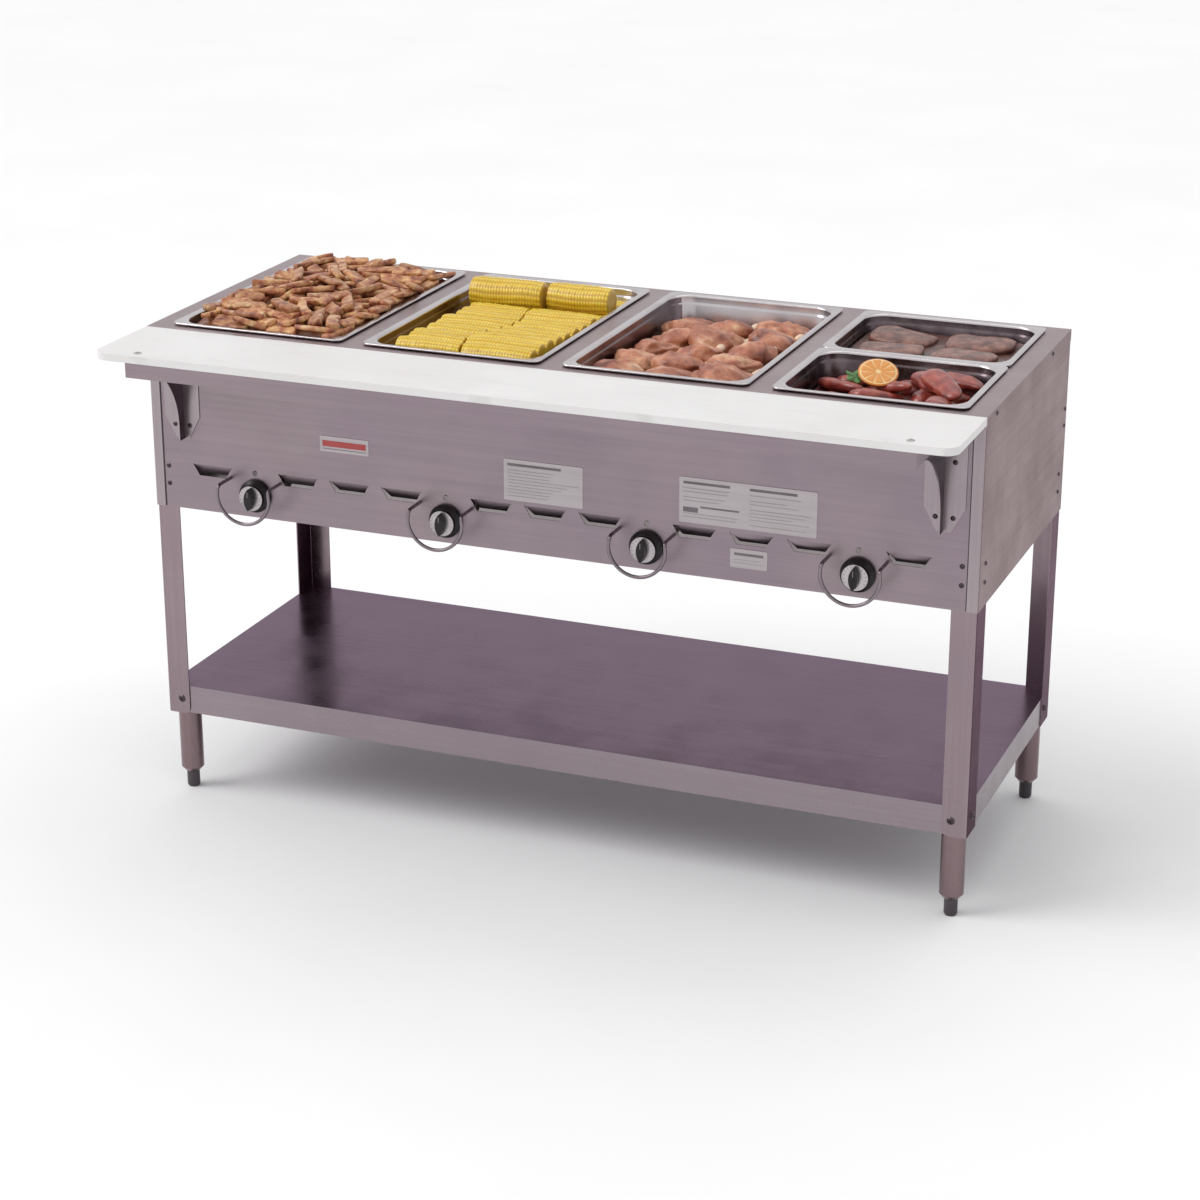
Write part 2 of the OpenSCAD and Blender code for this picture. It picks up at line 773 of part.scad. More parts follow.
module knob(i) {
    x = well_x(i);
    back = panel_y - knob_back;
    color(black) difference() {
        union() {
            rod_y(x, knob_z, knob_skirt_y + 6, back, knob_skirt_r);
            translate([x, knob_skirt_y + 6, knob_z]) rotate([90, 0, 0])
                cylinder(r1 = knob_skirt_r, r2 = knob_r + 1, h = 6);
            rod_y(x, knob_z, knob_face_y + bezel_t, knob_skirt_y + 1, knob_r);
            translate([x, knob_face_y + bezel_t + eps, knob_z]) rotate([90, 0, 0])
                linear_extrude(knob_face_y + bezel_t - grip_y) grip_outline();
        }
        knob_bore(x);
    }
}

module knob_bezel(i) {
    x = well_x(i);
    color(silver) difference() {
        rod_y(x, knob_z, knob_face_y, knob_face_y + bezel_t, knob_r);
        translate([x, knob_face_y + bezel_t + 1, knob_z]) rotate([90, 0, 0])
            linear_extrude(bezel_t + 2) scale(1.02) grip_outline();
    }
}

module knob_guards() {
    arc = 180 + 2 * guard_lift;
    wire_y = front_y - guard_reach;
    for (i = [1:well_count])
        color(steel) translate([well_x(i), wire_y, guard_z]) {
            rotate([90, 0, 0]) rotate([0, 0, 180 - guard_lift])
                rotate_extrude(angle = arc) translate([guard_r, 0]) circle(guard_wire_r);
            for (s = [-1, 1])
                translate([s * guard_r * cos(guard_lift), 0, guard_r * sin(guard_lift)]) {
                    sphere(guard_wire_r);
                    rod_y(0, 0, 0, guard_reach + sheet, guard_wire_r);
                }
        }
}

// A pan: one closed profile carried round a rounded rectangle
module pan(centre, w, d, depth) {
    z0 = rim_z - depth;
    z1 = rim_z - pan_t;
    inner_r = pan_body_r - pan_t;
    base_r = pan_body_r - pan_floor_r;
    wall_in = pan_inset + pan_draft;
    // Each is [inset from the rim's edge, corner radius, z], from the floor's underside to its top
    profile = [
        [wall_in + pan_floor_r, base_r, z0], [wall_in, pan_body_r, z0 + pan_floor_r],
        [pan_inset, pan_body_r, z1], [pan_t, pan_rim_r - pan_t, z1],
        [pan_t, pan_rim_r - pan_t, deck_z], [0, pan_rim_r, deck_z], [0, pan_rim_r, rim_z],
        [pan_inset + pan_t, inner_r, rim_z], [wall_in + pan_t, inner_r, z0 + pan_floor_r],
        [wall_in + pan_floor_r, base_r, z0 + pan_t]
    ];
    color(silver) loft([for (p = profile) concat(centre, [w - 2 * p[0], d - 2 * p[0], p[1], p[2]])]);
}

module full_pan(i, depth) {
    pan([well_x(i), mid_y], pan_w, pan_d, depth);
}

half_pan_shift = (half_pan_d + pan_split) / 2;
function half_pan_at(e) = [well_x(well_count), mid_y + e * half_pan_shift];

module half_pan(e) {
    pan(half_pan_at(e), pan_w, half_pan_d, pan_shallow);
}

// A load of food: it fills a pan's floor and rises through the sections given as
// [inset from the pan's wall, corner radius, z, shift along x, shift along y]
module food(centre, d, depth, tone, upper) {
    z0 = rim_z - depth + pan_t;
    wall = pan_inset + pan_draft + food_gap;
    lower = [
        [pan_floor_r, pan_body_r - pan_floor_r, z0, 0, 0],
        [1, pan_body_r - 2, z0 + pan_floor_r + 4, 0, 0]
    ];
    color(tone) loft([
        for (u = concat(lower, upper))
            [
                centre[0] + u[3], centre[1] + u[4],
                pan_w - 2 * (wall + u[0]), d - 2 * (wall + u[0]), u[1], u[2]
            ]
    ]);
}

module food_pan_1() {
    food([well_x(1), mid_y], pan_d, pan_shallow, [0.62, 0.42, 0.28], [
        [-2, pan_body_r - 2, deck_z - 10, 0, 0], [0, pan_body_r, rim_z + 4, 0, 0],
        [10, 45, rim_z + 16, 0, 0], [34, 50, rim_z + 26, 0, 0], [70, 40, rim_z + 32, 0, 0]
    ]);
}

module food_pan_2() {
    food([well_x(2), mid_y], pan_d, pan_shallow, [0.88, 0.72, 0.22], [
        [-2, pan_body_r - 2, deck_z - 10, 0, 0], [0, pan_body_r, rim_z + 6, 0, 0],
        [12, 40, rim_z + 20, 0, 0], [30, 40, rim_z + 28, 0, 0]
    ]);
}

module food_pan_3() {
    food([well_x(3), mid_y], pan_d, pan_deep, [0.68, 0.45, 0.38], [
        [2, pan_body_r, deck_z - 66, 0, 0], [22, 45, deck_z - 30, 14, -8], [50, 40, deck_z - 8, 22, -16]
    ]);
}

module food_half_front() {
    food(half_pan_at(-1), half_pan_d, pan_shallow, [0.66, 0.32, 0.26], [
        [4, 30, deck_z - 40, 0, 0], [22, 26, deck_z - 24, 4, -4]
    ]);
}

module food_half_rear() {
    food(half_pan_at(1), half_pan_d, pan_shallow, [0.48, 0.32, 0.28], [
        [4, 30, deck_z - 44, 0, 0], [14, 26, deck_z - 30, 0, 0]
    ]);
}

// The bar lies flush in the opening between the half pans and hooks over the deck at each end,
// where a notch clears the rims' corners
module adapter_bar() {
    x = well_x(well_count);
    half = well_w / 2 - hole_gap;
    bar_t = 1.2;
    top_half = 10;
    web_drop = 14;
    hook_half = 22;
    hook_drop = 9;
    hook_reach = 7;
    notch_half = 11;
    hook_top = deck_z + bar_t;
    color(silver) difference() {
        union() {
            box([x - half, mid_y - top_half, deck_z - bar_t], [x + half, mid_y + top_half, deck_z]);
            box([x - half, mid_y - bar_t, deck_z - web_drop], [x + half, mid_y + bar_t, deck_z]);
            for (s = [-1, 1])
                translate([x, mid_y, 0]) mirror([s < 0 ? 1 : 0, 0, 0]) {
                    box([half - 1, -hook_half, deck_z - hook_drop], [half, hook_half, hook_top]);
                    box([half - 1, -hook_half, deck_z], [half + hook_reach, hook_half, hook_top]);
                }
        }
        box([x - far, mid_y - notch_half, deck_z], [x + far, mid_y + notch_half, hook_top + 1]);
    }
}

// Plates on the front panel: [x centre, z centre, width, height]
plates = [[-369, 695, 92, 28], [-3, 671.5, 142, 72], [354.5, 674.5, 235, 78], [358, 585.5, 64, 33]];

module label_plates() {
    plate_t = 0.8;
    color(label_grey) for (p = plates)
        translate([p[0], panel_y, p[1]]) rotate([90, 0, 0])
            linear_extrude(plate_t) rounded_rect(p[2], p[3], 2);
}

top_deck();
front_panel();
left_end_panel();
right_end_panel();
back_panel();
leg(false, true);  // leg_front_left
leg(true, true);  // leg_front_right
leg(false, false);  // leg_back_left
leg(true, false);  // leg_back_right
undershelf();
foot_tubes();
foot_insert(1);  // foot_insert_1
foot_insert(2);  // foot_insert_2
foot_insert(3);  // foot_insert_3
foot_insert(4);  // foot_insert_4
board_shelf();
board_bracket_left();
board_bracket_right();
cutting_board();
board_screws();
well_liner(1);  // well_liner_1
well_liner(2);  // well_liner_2
well_liner(3);  // well_liner_3
well_liner(4);  // well_liner_4
insulation();
gas_manifold();
gas_valves();
pilot_tubes();
burners();
burner_rails();
pressure_regulator();
gas_inlet_pipe();
valve_stem(1);  // valve_stem_1
valve_stem(2);  // valve_stem_2
valve_stem(3);  // valve_stem_3
valve_stem(4);  // valve_stem_4
knob(1);  // knob_1
knob(2);  // knob_2
knob(3);  // knob_3
knob(4);  // knob_4
knob_bezel(1);  // knob_bezel_1
knob_bezel(2);  // knob_bezel_2
knob_bezel(3);  // knob_bezel_3
knob_bezel(4);  // knob_bezel_4
knob_guards();
full_pan(1, pan_shallow);  // pan_1
full_pan(2, pan_shallow);  // pan_2
full_pan(3, pan_deep);  // pan_3
half_pan(-1);  // half_pan_front
half_pan(1);  // half_pan_rear
adapter_bar();
food_pan_1();
food_pan_2();
food_pan_3();
food_half_front();
food_half_rear();
label_plates();
panel_screws();
leg_bolts();
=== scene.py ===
"""The looks of a four-well gas steam table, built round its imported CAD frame.

Lengths in the constants are millimetres; MM turns them into Blender's metres.
"""

import json
import math
import random

import bmesh
import bpy
import numpy as np
from mathutils import Matrix, Vector

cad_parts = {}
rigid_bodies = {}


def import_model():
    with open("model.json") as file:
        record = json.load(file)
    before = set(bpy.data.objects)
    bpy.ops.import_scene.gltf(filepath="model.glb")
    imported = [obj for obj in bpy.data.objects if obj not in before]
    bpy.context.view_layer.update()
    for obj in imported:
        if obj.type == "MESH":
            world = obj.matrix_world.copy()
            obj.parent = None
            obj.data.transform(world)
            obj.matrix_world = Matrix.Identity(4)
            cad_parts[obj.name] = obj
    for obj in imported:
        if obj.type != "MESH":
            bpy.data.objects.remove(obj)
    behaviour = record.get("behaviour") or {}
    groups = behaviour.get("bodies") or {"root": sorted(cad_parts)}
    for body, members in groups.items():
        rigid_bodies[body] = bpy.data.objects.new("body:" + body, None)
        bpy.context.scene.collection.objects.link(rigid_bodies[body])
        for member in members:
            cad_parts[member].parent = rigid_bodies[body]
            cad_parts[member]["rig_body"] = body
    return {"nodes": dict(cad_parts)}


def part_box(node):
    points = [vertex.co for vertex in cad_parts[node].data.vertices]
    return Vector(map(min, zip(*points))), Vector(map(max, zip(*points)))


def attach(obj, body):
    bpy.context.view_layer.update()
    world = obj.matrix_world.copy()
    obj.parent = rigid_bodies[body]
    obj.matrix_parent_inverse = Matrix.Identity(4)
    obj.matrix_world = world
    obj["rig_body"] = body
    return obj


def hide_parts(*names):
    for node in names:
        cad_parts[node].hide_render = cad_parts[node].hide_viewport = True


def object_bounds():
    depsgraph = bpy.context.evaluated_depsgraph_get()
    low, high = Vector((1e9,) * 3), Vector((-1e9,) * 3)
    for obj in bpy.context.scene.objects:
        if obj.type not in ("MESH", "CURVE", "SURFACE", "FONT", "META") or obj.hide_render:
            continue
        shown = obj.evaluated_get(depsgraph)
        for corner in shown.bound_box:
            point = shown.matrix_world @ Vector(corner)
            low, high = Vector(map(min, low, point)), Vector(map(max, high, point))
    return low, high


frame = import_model()
CAD_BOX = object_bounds()

MM = 0.001
TAU = 2 * math.pi

# ---------------------------------------------------------------- camera and light

CAMERA_AT = (1.760, -4.372, 2.132)
CAMERA_YAW = 21.77
CAMERA_PITCH = 20.24
CAMERA_LENS = 86.0
CAMERA_SENSOR = 36.0
SKY = (0.95, 0.95, 0.96, 1)
SKY_STRENGTH = 0.86
LIT_POINT = (0, 0, 0.7)
FLOOR_SIZE = 60


def add_camera():
    data = bpy.data.cameras.new("camera")
    data.lens = CAMERA_LENS
    data.sensor_width = CAMERA_SENSOR
    camera = bpy.data.objects.new("camera", data)
    camera.location = CAMERA_AT
    camera.rotation_euler = (math.radians(90 - CAMERA_PITCH), 0, math.radians(CAMERA_YAW))
    bpy.context.scene.collection.objects.link(camera)
    bpy.context.scene.camera = camera


def add_light(name, data, at, aim):
    light = bpy.data.objects.new(name, data)
    light.location = at
    light.rotation_euler = (Vector(aim) - Vector(at)).to_track_quat("-Z", "Y").to_euler()
    bpy.context.scene.collection.objects.link(light)


def add_area(name, at, size, power):
    data = bpy.data.lights.new(name, "AREA")
    data.shape = "RECTANGLE"
    data.size, data.size_y = size
    data.energy = power
    add_light(name, data, at, LIT_POINT)


def add_sun(name, side, strength, width):
    """Even light from one side, as soft as a lamp that many degrees wide."""
    data = bpy.data.lights.new(name, "SUN")
    data.energy = strength
    data.angle = math.radians(width)
    add_light(name, data, side, (0, 0, 0))


def add_studio():
    scene = bpy.context.scene
    scene.view_settings.view_transform = "Standard"
    world = bpy.data.worlds.new("studio")
    world.use_nodes = True
    sky = world.node_tree.nodes["Background"]
    sky.inputs["Color"].default_value = SKY
    sky.inputs["Strength"].default_value = SKY_STRENGTH
    scene.world = world
    add_sun("daylight", side=(-0.66, -0.34, 0.67), strength=1.35, width=38)
    add_area("key", at=(-3.6, -2.2, 3.4), size=(2.2, 2.2), power=18)
    add_area("top", at=(0.4, 1.2, 4.0), size=(3.2, 2.0), power=16)
    bpy.ops.mesh.primitive_plane_add(size=FLOOR_SIZE)
    floor = bpy.context.object
    floor.name = "floor"
    return floor


# ---------------------------------------------------------------- material building


class Shader:
    """A node material with short calls for the textures that the parts share."""

    def __init__(self, name, **sockets):
        self.material = bpy.data.materials.new(name)
        self.material.use_nodes = True
        self.tree = self.material.node_tree
        self.bsdf = self.tree.nodes["Principled BSDF"]
        self.place = self.add("TexCoord").outputs["Object"]
        for key, value in sockets.items():
            self.bsdf.inputs[key.replace("_", " ")].default_value = value

    def add(self, kind, settings=None, **inputs):
        node = self.tree.nodes.new("ShaderNode" + kind)
        for key, value in (settings or {}).items():
            setattr(node, key, value)
        for key, value in inputs.items():
            self.feed(node, key.replace("_", " "), value)
        return node

    def feed(self, node, key, value):
        socket = node.inputs[int(key[1:]) if key[0] == "i" and key[1:].isdigit() else key]
        if isinstance(value, bpy.types.NodeSocket):
            self.tree.links.new(value, socket)
        else:
            socket.default_value = value

    def noise(self, scale, detail=3.0, stretch=(1, 1, 1), turn=0.0, rough=0.55):
        """Noise over the object, in metres: stretch packs it more closely along an axis."""
        mapped = self.add("Mapping", Vector=self.place, Scale=stretch, Rotation=(0, 0, turn))
        settings = {"Scale": scale, "Detail": detail, "Roughness": rough}
        return self.add("TexNoise", Vector=mapped.outputs[0], **settings).outputs["Fac"]

    def ramp(self, value, stops):
        node = self.add("ValToRGB", Fac=value)
        points = node.color_ramp.elements
        while len(points) < len(stops):
            points.new(0.5)
        for point, (at, colour) in zip(points, stops):
            point.position = at
            point.color = (*colour, 1)
        return node.outputs["Color"]

    def span(self, value, low, high, start=0.0, end=1.0):
        """Value, from start to end, carried to the range low to high."""
        node = self.add("MapRange", i0=value, i1=start, i2=end, i3=low, i4=high)
        return node.outputs[0]

    def math(self, operation, a, b):
        return self.add("Math", {"operation": operation}, i0=a, i1=b).outputs[0]

    def mix(self, share, a, b, blend="MIX"):
        node = self.add("MixRGB", {"blend_type": blend}, Fac=share, Color1=a, Color2=b)
        return node.outputs[0]

    def attribute(self, name):
        return self.add("Attribute", {"attribute_name": name})

    def bump(self, height, depth, strength=1.0, under=None):
        """A bump of that depth in metres, on top of another one if given."""
        node = self.add("Bump", Height=height, Distance=depth, Strength=strength)
        if under is not None:
            self.feed(node, "Normal", under)
        return node.outputs[0]

    def finish(self, **outputs):
        for key, value in outputs.items():
            self.feed(self.bsdf, key.replace("_", " "), value)
        return self.material


GRAIN = {"x": (1, 90, 90), "y": (90, 1, 90), "z": (90, 90, 1)}


def brushed(name, light, dark, roughness, grain, wave=0.0, edge=(1, 1, 1)):
    """Sheet steel: fine brushing along an axis, broad streaks, cloudy tint and faint smudges."""
    s = Shader(name, Metallic=1.0, Specular_Tint=(*edge, 1))
    fine = s.noise(11, 2, GRAIN[grain])
    streak = s.noise(1.6, 3, GRAIN[grain])
    cloud = s.noise(3.2, 3)
    smudge = s.noise(9, 4)
    tint = s.ramp(cloud, [(0.3, dark), (0.7, light)])
    deep, pale = [c * 0.88 for c in dark] + [1], [c * 1.15 for c in light] + [1]
    streaked = s.mix(s.span(streak, 0.0, 0.35, 0.35, 0.7), tint, deep)
    colour = s.mix(s.span(fine, 0.0, 0.3, 0.3, 0.75), streaked, pale)
    worn = s.span(smudge, -0.07, 0.07, 0.3, 0.7)
    rough = s.math("ADD", worn, s.span(streak, roughness - 0.05, roughness + 0.05))
    sheet = s.bump(cloud, wave, 1.0) if wave else None
    relief = s.bump(fine, 0.00002, 0.5, sheet)
    return s.finish(Base_Color=colour, Roughness=rough, Normal=relief)


def plastic(name, colour, worn, roughness, shine=0.5):
    """Moulded plastic: a fine pebble, slight fading and handling marks."""
    s = Shader(name, Specular_IOR_Level=shine)
    pebble = s.noise(260, 2)
    patch = s.noise(14, 4)
    tint = s.ramp(patch, [(0.35, colour), (0.75, worn)])
    rough = s.span(patch, roughness - 0.06, roughness + 0.1)
    return s.finish(Base_Color=tint, Roughness=rough, Normal=s.bump(pebble, 0.00006, 0.7))


def cast(name, colour, mottled, roughness, metallic):
    """Pipe, cast or turned metal with mottling and small pits."""
    s = Shader(name, Metallic=metallic)
    mottle = s.noise(38, 5)
    pits = s.noise(420, 2)
    tint = s.ramp(mottle, [(0.3, colour), (0.72, mottled)])
    rough = s.span(mottle, roughness - 0.1, roughness + 0.12)
    return s.finish(Base_Color=tint, Roughness=rough, Normal=s.bump(pits, 0.00015, 0.6))


def board_plastic():
    """Polyethylene board: matt white, with crossing knife marks and faint stains."""
    s = Shader("board_plastic", Subsurface_Weight=0.08, Subsurface_Scale=0.004)
    stain = s.noise(5, 4)
    cloud = s.noise(22, 3)
    marks = [s.noise(1, 2, (7, 620, 5), turn) for turn in (0.5, -0.35, 1.2)]
    cuts = [s.span(m, 0.0, 1.0, 0.655, 0.70) for m in marks]
    scored = s.math("MAXIMUM", s.math("MAXIMUM", cuts[0], cuts[1]), cuts[2])
    tint = s.ramp(stain, [(0.3, (0.655, 0.64, 0.628)), (0.65, (0.70, 0.69, 0.685))])
    colour = s.mix(s.span(scored, 0.0, 0.35), tint, (0.52, 0.50, 0.48, 1))
    grain = s.bump(s.noise(900, 2), 0.00005, 0.5)
    rough = s.span(cloud, 0.38, 0.52)
    return s.finish(Base_Color=colour, Roughness=rough, Normal=s.bump(scored, -0.0002, 0.7, grain))


def drawn_steel(name, dull, bright):
    """Deep-drawn steel, with draw lines down the walls and a cloudy, washed surface."""
    s = Shader(name, Metallic=1.0)
    draw = s.noise(2.0, 3, (60, 60, 2))
    cloud = s.noise(8, 4)
    tint = s.ramp(cloud, [(0.3, dull), (0.7, bright)])
    rough = s.math("ADD", s.span(cloud, 0.14, 0.3), s.span(draw, -0.04, 0.06))
    return s.finish(Base_Color=tint, Roughness=rough, Normal=s.bump(draw, 0.00012, 0.6))


def glass_wool():
    s = Shader("insulation", Roughness=0.95)
    fibre = s.noise(30, 6, (1, 6, 2), rough=0.8)
    tint = s.ramp(fibre, [(0.3, (0.62, 0.46, 0.14)), (0.7, (0.9, 0.78, 0.4))])
    return s.finish(Base_Color=tint, Normal=s.bump(fibre, 0.004, 1.0))


def pale_floor():
    s = Shader("pale_floor", Roughness=0.7)
    tint = s.ramp(s.noise(1.5, 4), [(0.3, (0.87, 0.87, 0.87)), (0.7, (0.90, 0.90, 0.90))])
    return s.finish(Base_Color=tint)


BONE = (0.74, 0.58, 0.42)


def cooked(name, tones, depth, roughness, scale=60.0, coat=0.25):
    """Cooked food: tones from the crust's darkest to its lightest, wrinkles, and a greasy coat.

    The mesh's "tone" runs from -1, bare bone, over 0 to 1, the darkest crust.
    """
    s = Shader(
        name, Coat_Weight=coat, Coat_Roughness=0.22, Subsurface_Weight=0.12, Subsurface_Scale=0.006,
    )
    brown = s.noise(scale, 5, rough=0.6)
    fleck = s.noise(scale * 7, 3)
    steps = [(0.32 + 0.36 * k / (len(tones) - 1), tone) for k, tone in enumerate(tones)]
    tint = s.ramp(brown, steps)
    colour = s.mix(s.span(fleck, 0.0, 0.45, 0.5, 0.75), tint, (*tones[0], 1))
    # The tone darkens a part towards the darkest crust: at random from piece to piece, and on the beds
    # under the strips and the pieces as painted shade.
    shade = s.attribute("tone").outputs["Fac"]
    shaded = s.mix(s.span(shade, 0.0, 0.75), colour, (*tones[0], 1))
    bared = s.mix(s.span(shade, 1.0, 0.0, -1.0, 0.0), shaded, (*BONE, 1))
    fine = s.bump(fleck, depth * 0.25, 0.7)
    rough = s.span(brown, roughness + 0.12, roughness - 0.08)
    return s.finish(Base_Color=bared, Roughness=rough, Normal=s.bump(brown, depth, 0.8, fine))


def corn_kernels():
    """Kernels: bright crowns, a browner yellow between them as painted shade, a wet shine."""
    s = Shader(
        "corn_kernels", Coat_Weight=0.35, Coat_Roughness=0.15,
        Subsurface_Weight=0.25, Subsurface_Scale=0.006,
    )
    depth = s.attribute("tone").outputs["Fac"]
    patch = s.noise(24, 3)
    crown = s.ramp(patch, [(0.3, (0.72, 0.51, 0.024)), (0.7, (0.80, 0.61, 0.050))])
    colour = s.mix(s.span(depth, 0.0, 1.0), crown, (0.42, 0.20, 0.010, 1))
    relief = s.bump(s.noise(700, 2), 0.00005, 0.5)
    return s.finish(Base_Color=colour, Roughness=s.span(patch, 0.28, 0.45), Normal=relief)


def painted(name, roughness, coat):
    """A finish whose colours are in the mesh's "paint" attribute, with grain added."""
    s = Shader(name, Coat_Weight=coat, Coat_Roughness=0.2)
    paint = s.attribute("paint").outputs["Color"]
    grain = s.noise(250, 3)
    colour = s.mix(s.span(grain, 0.0, 0.3, 0.4, 0.8), paint, (1, 1, 1, 1), "MULTIPLY")
    toned = s.mix(s.span(grain, 0.0, 0.25, 0.3, 0.7), colour, (0.45, 0.35, 0.25, 1), "MULTIPLY")
    return s.finish(Base_Color=toned, Roughness=roughness, Normal=s.bump(grain, 0.0003, 0.6))


# Light and dark tints, roughness, grain, depth of waves, tint at grazing angles
BRUSHED = {
    "panel_x": ((0.310, 0.255, 0.268), (0.270, 0.212, 0.250), 0.37, "x", 0.00015),
    # Painted shade: a darker copy of the steel for the end panels' side faces.
    "panel_y": ((0.225, 0.170, 0.176), (0.190, 0.138, 0.146), 0.36, "y", 0.0003, (0.855, 0.79, 0.79)),
    "flange": ((0.37, 0.32, 0.335), (0.32, 0.27, 0.29), 0.30, "z"),
    # Painted shade: a near-black copy of the steel for the bracket webs' sides.
    "bracket_side": ((0.075, 0.050, 0.062), (0.05, 0.032, 0.042), 0.34, "z"),
    "deck": ((0.38, 0.30, 0.305), (0.33, 0.25, 0.265), 0.32, "x", 0.001),
    "leg": ((0.31, 0.245, 0.262), (0.26, 0.20, 0.225), 0.26, "z"),
    # Painted shade: a dark copy of the steel for the legs' sides.
    "leg_side": ((0.110, 0.070, 0.086), (0.085, 0.052, 0.067), 0.26, "z", 0, (0.58, 0.49, 0.54)),
    # Painted shade: a darker copy of the steel for the undershelf's top and underside.
    "shelf": ((0.208, 0.146, 0.192), (0.192, 0.134, 0.180), 0.27, "x", 0.0003, (0.79, 0.735, 0.785)),
    "lip": ((0.32, 0.27, 0.29), (0.28, 0.23, 0.255), 0.3, "x"),
    "foot": ((0.26, 0.19, 0.20), (0.20, 0.14, 0.15), 0.24, "z"),
    "liner": ((0.42, 0.38, 0.38), (0.30, 0.27, 0.27), 0.42, "z"),
    "wire": ((0.26, 0.22, 0.24), (0.20, 0.165, 0.185), 0.28, "y"),
    "bezel": ((0.50, 0.46, 0.475), (0.42, 0.38, 0.40), 0.3, "z"),
    "label": ((0.46, 0.42, 0.43), (0.42, 0.38, 0.39), 0.42, "x"),
}

# Dull and bright tints
DRAWN = {
    "pan": ((0.50, 0.46, 0.475), (0.66, 0.63, 0.64)),
    "pan_shade": ((0.155, 0.12, 0.13), (0.245, 0.195, 0.21)),
}

# Two mottled tints, roughness, how metallic
CAST = {
    "screw": ((0.07, 0.055, 0.062), (0.12, 0.10, 0.11), 0.34, 1.0),
    "screw_pale": ((0.36, 0.33, 0.33), (0.46, 0.43, 0.43), 0.34, 1.0),
    "brass": ((0.62, 0.42, 0.15), (0.45, 0.29, 0.10), 0.33, 1.0),
    "iron": ((0.055, 0.052, 0.05), (0.10, 0.085, 0.075), 0.62, 0.7),
    "regulator": ((0.30, 0.31, 0.33), (0.38, 0.385, 0.40), 0.5, 0.4),
    # A darker steel for the whole inside of the half pans.
    "pan_stained": ((0.10, 0.075, 0.085), (0.20, 0.16, 0.17), 0.25, 1.0),
}

# New and worn colours, roughness, shine
PLASTIC = {
    "knob": ((0.006, 0.004, 0.005), (0.018, 0.013, 0.016), 0.3, 0.3),
    "foot_plastic": ((0.03, 0.022, 0.028), (0.06, 0.05, 0.055), 0.4),
    "ink": ((0.14, 0.115, 0.13), (0.19, 0.165, 0.18), 0.5),
    "faded_ink": ((0.33, 0.30, 0.305), (0.37, 0.34, 0.345), 0.5),
    "line_ink": ((0.22, 0.21, 0.215), (0.16, 0.15, 0.155), 0.5),
    # Painted shadow: a near-black strip for the shadow line where the end panels lap onto the panels.
    "seam": ((0.035, 0.025, 0.03), (0.06, 0.045, 0.05), 0.6),
    "enamel": ((0.42, 0.05, 0.045), (0.50, 0.10, 0.09), 0.4),
}

STRIP_TONES = [(0.11, 0.022, 0.008), (0.38, 0.115, 0.045), (0.57, 0.29, 0.115), (0.71, 0.49, 0.25)]
PIECE_TONES = [(0.13, 0.030, 0.016), (0.36, 0.115, 0.060), (0.52, 0.21, 0.110), (0.70, 0.43, 0.25)]
FILLET_TONES = [(0.05, 0.015, 0.010), (0.18, 0.065, 0.045), (0.31, 0.14, 0.10)]
GLAZED_TONES = [(0.08, 0.008, 0.007), (0.27, 0.033, 0.022), (0.40, 0.085, 0.05)]

# Tones, depth of wrinkles, roughness, scale of the browning, coat of grease
COOKED = {
    "strips": (STRIP_TONES, 0.0012, 0.5),
    "pieces": (PIECE_TONES, 0.003, 0.42, 22.0, 0.22),
    "fillets": (FILLET_TONES, 0.002, 0.42, 48.0, 0.35),
    "glazed": (GLAZED_TONES, 0.002, 0.32, 50.0, 0.5),
}

# Roughness and coat of juice
PAINTED = {"citrus": (0.35, 0.4), "leaf": (0.45, 0.2)}

FINISHES = {
    brushed: BRUSHED, drawn_steel: DRAWN, cast: CAST,
    plastic: PLASTIC, cooked: COOKED, painted: PAINTED,
}
MATERIALS = {
    name: make(name, *row) for make, rows in FINISHES.items() for name, row in rows.items()
}
MATERIALS["board"] = board_plastic()
MATERIALS["wool"] = glass_wool()
MATERIALS["corn"] = corn_kernels()
MATERIALS["floor"] = pale_floor()

# ---------------------------------------------------------------- mesh helpers


def new_piece(name, verts, faces, material, body, smooth=40.0):
    """A mesh object from points in millimetres, smooth where faces meet at less than that angle."""
    mesh = bpy.data.meshes.new(name)
    mesh.from_pydata([tuple(MM * c for c in v) for v in verts], [], [tuple(f) for f in faces])
    mesh.update()
    return as_piece(name, mesh, material, body, smooth)


def as_piece(name, mesh, material, body, smooth=40.0):
    piece = bpy.data.objects.new(name, mesh)
    bpy.context.scene.collection.objects.link(piece)
    mesh.materials.clear()
    mesh.materials.append(MATERIALS[material])
    tidy_normals(mesh, smooth)
    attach(piece, body)
    return piece


def tidy_normals(mesh, smooth):
    work = bmesh.new()
    work.from_mesh(mesh)
    bmesh.ops.recalc_face_normals(work, faces=work.faces)
    for edge in work.edges:
        edge.smooth = len(edge.link_faces) == 2 and edge.calc_face_angle(0) < math.radians(smooth)
    for face in work.faces:
        face.smooth = True
    work.to_mesh(mesh)
    work.free()


def baked(piece):
    """Applies a piece's modifiers to its mesh."""
    shape = piece.evaluated_get(bpy.context.evaluated_depsgraph_get())
    mesh = bpy.data.meshes.new_from_object(shape)
    piece.modifiers.clear()
    piece.data = mesh


def body_of(node):
    return frame["nodes"][node]["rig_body"]


def box_of(node):
    """A CAD node's lowest and highest corner, in millimetres."""
    return [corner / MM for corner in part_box(node)]


def stand_in(node):
    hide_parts(node)


WELD = 0.00002
FLAT = math.radians(0.6)
SHARP = math.radians(35)


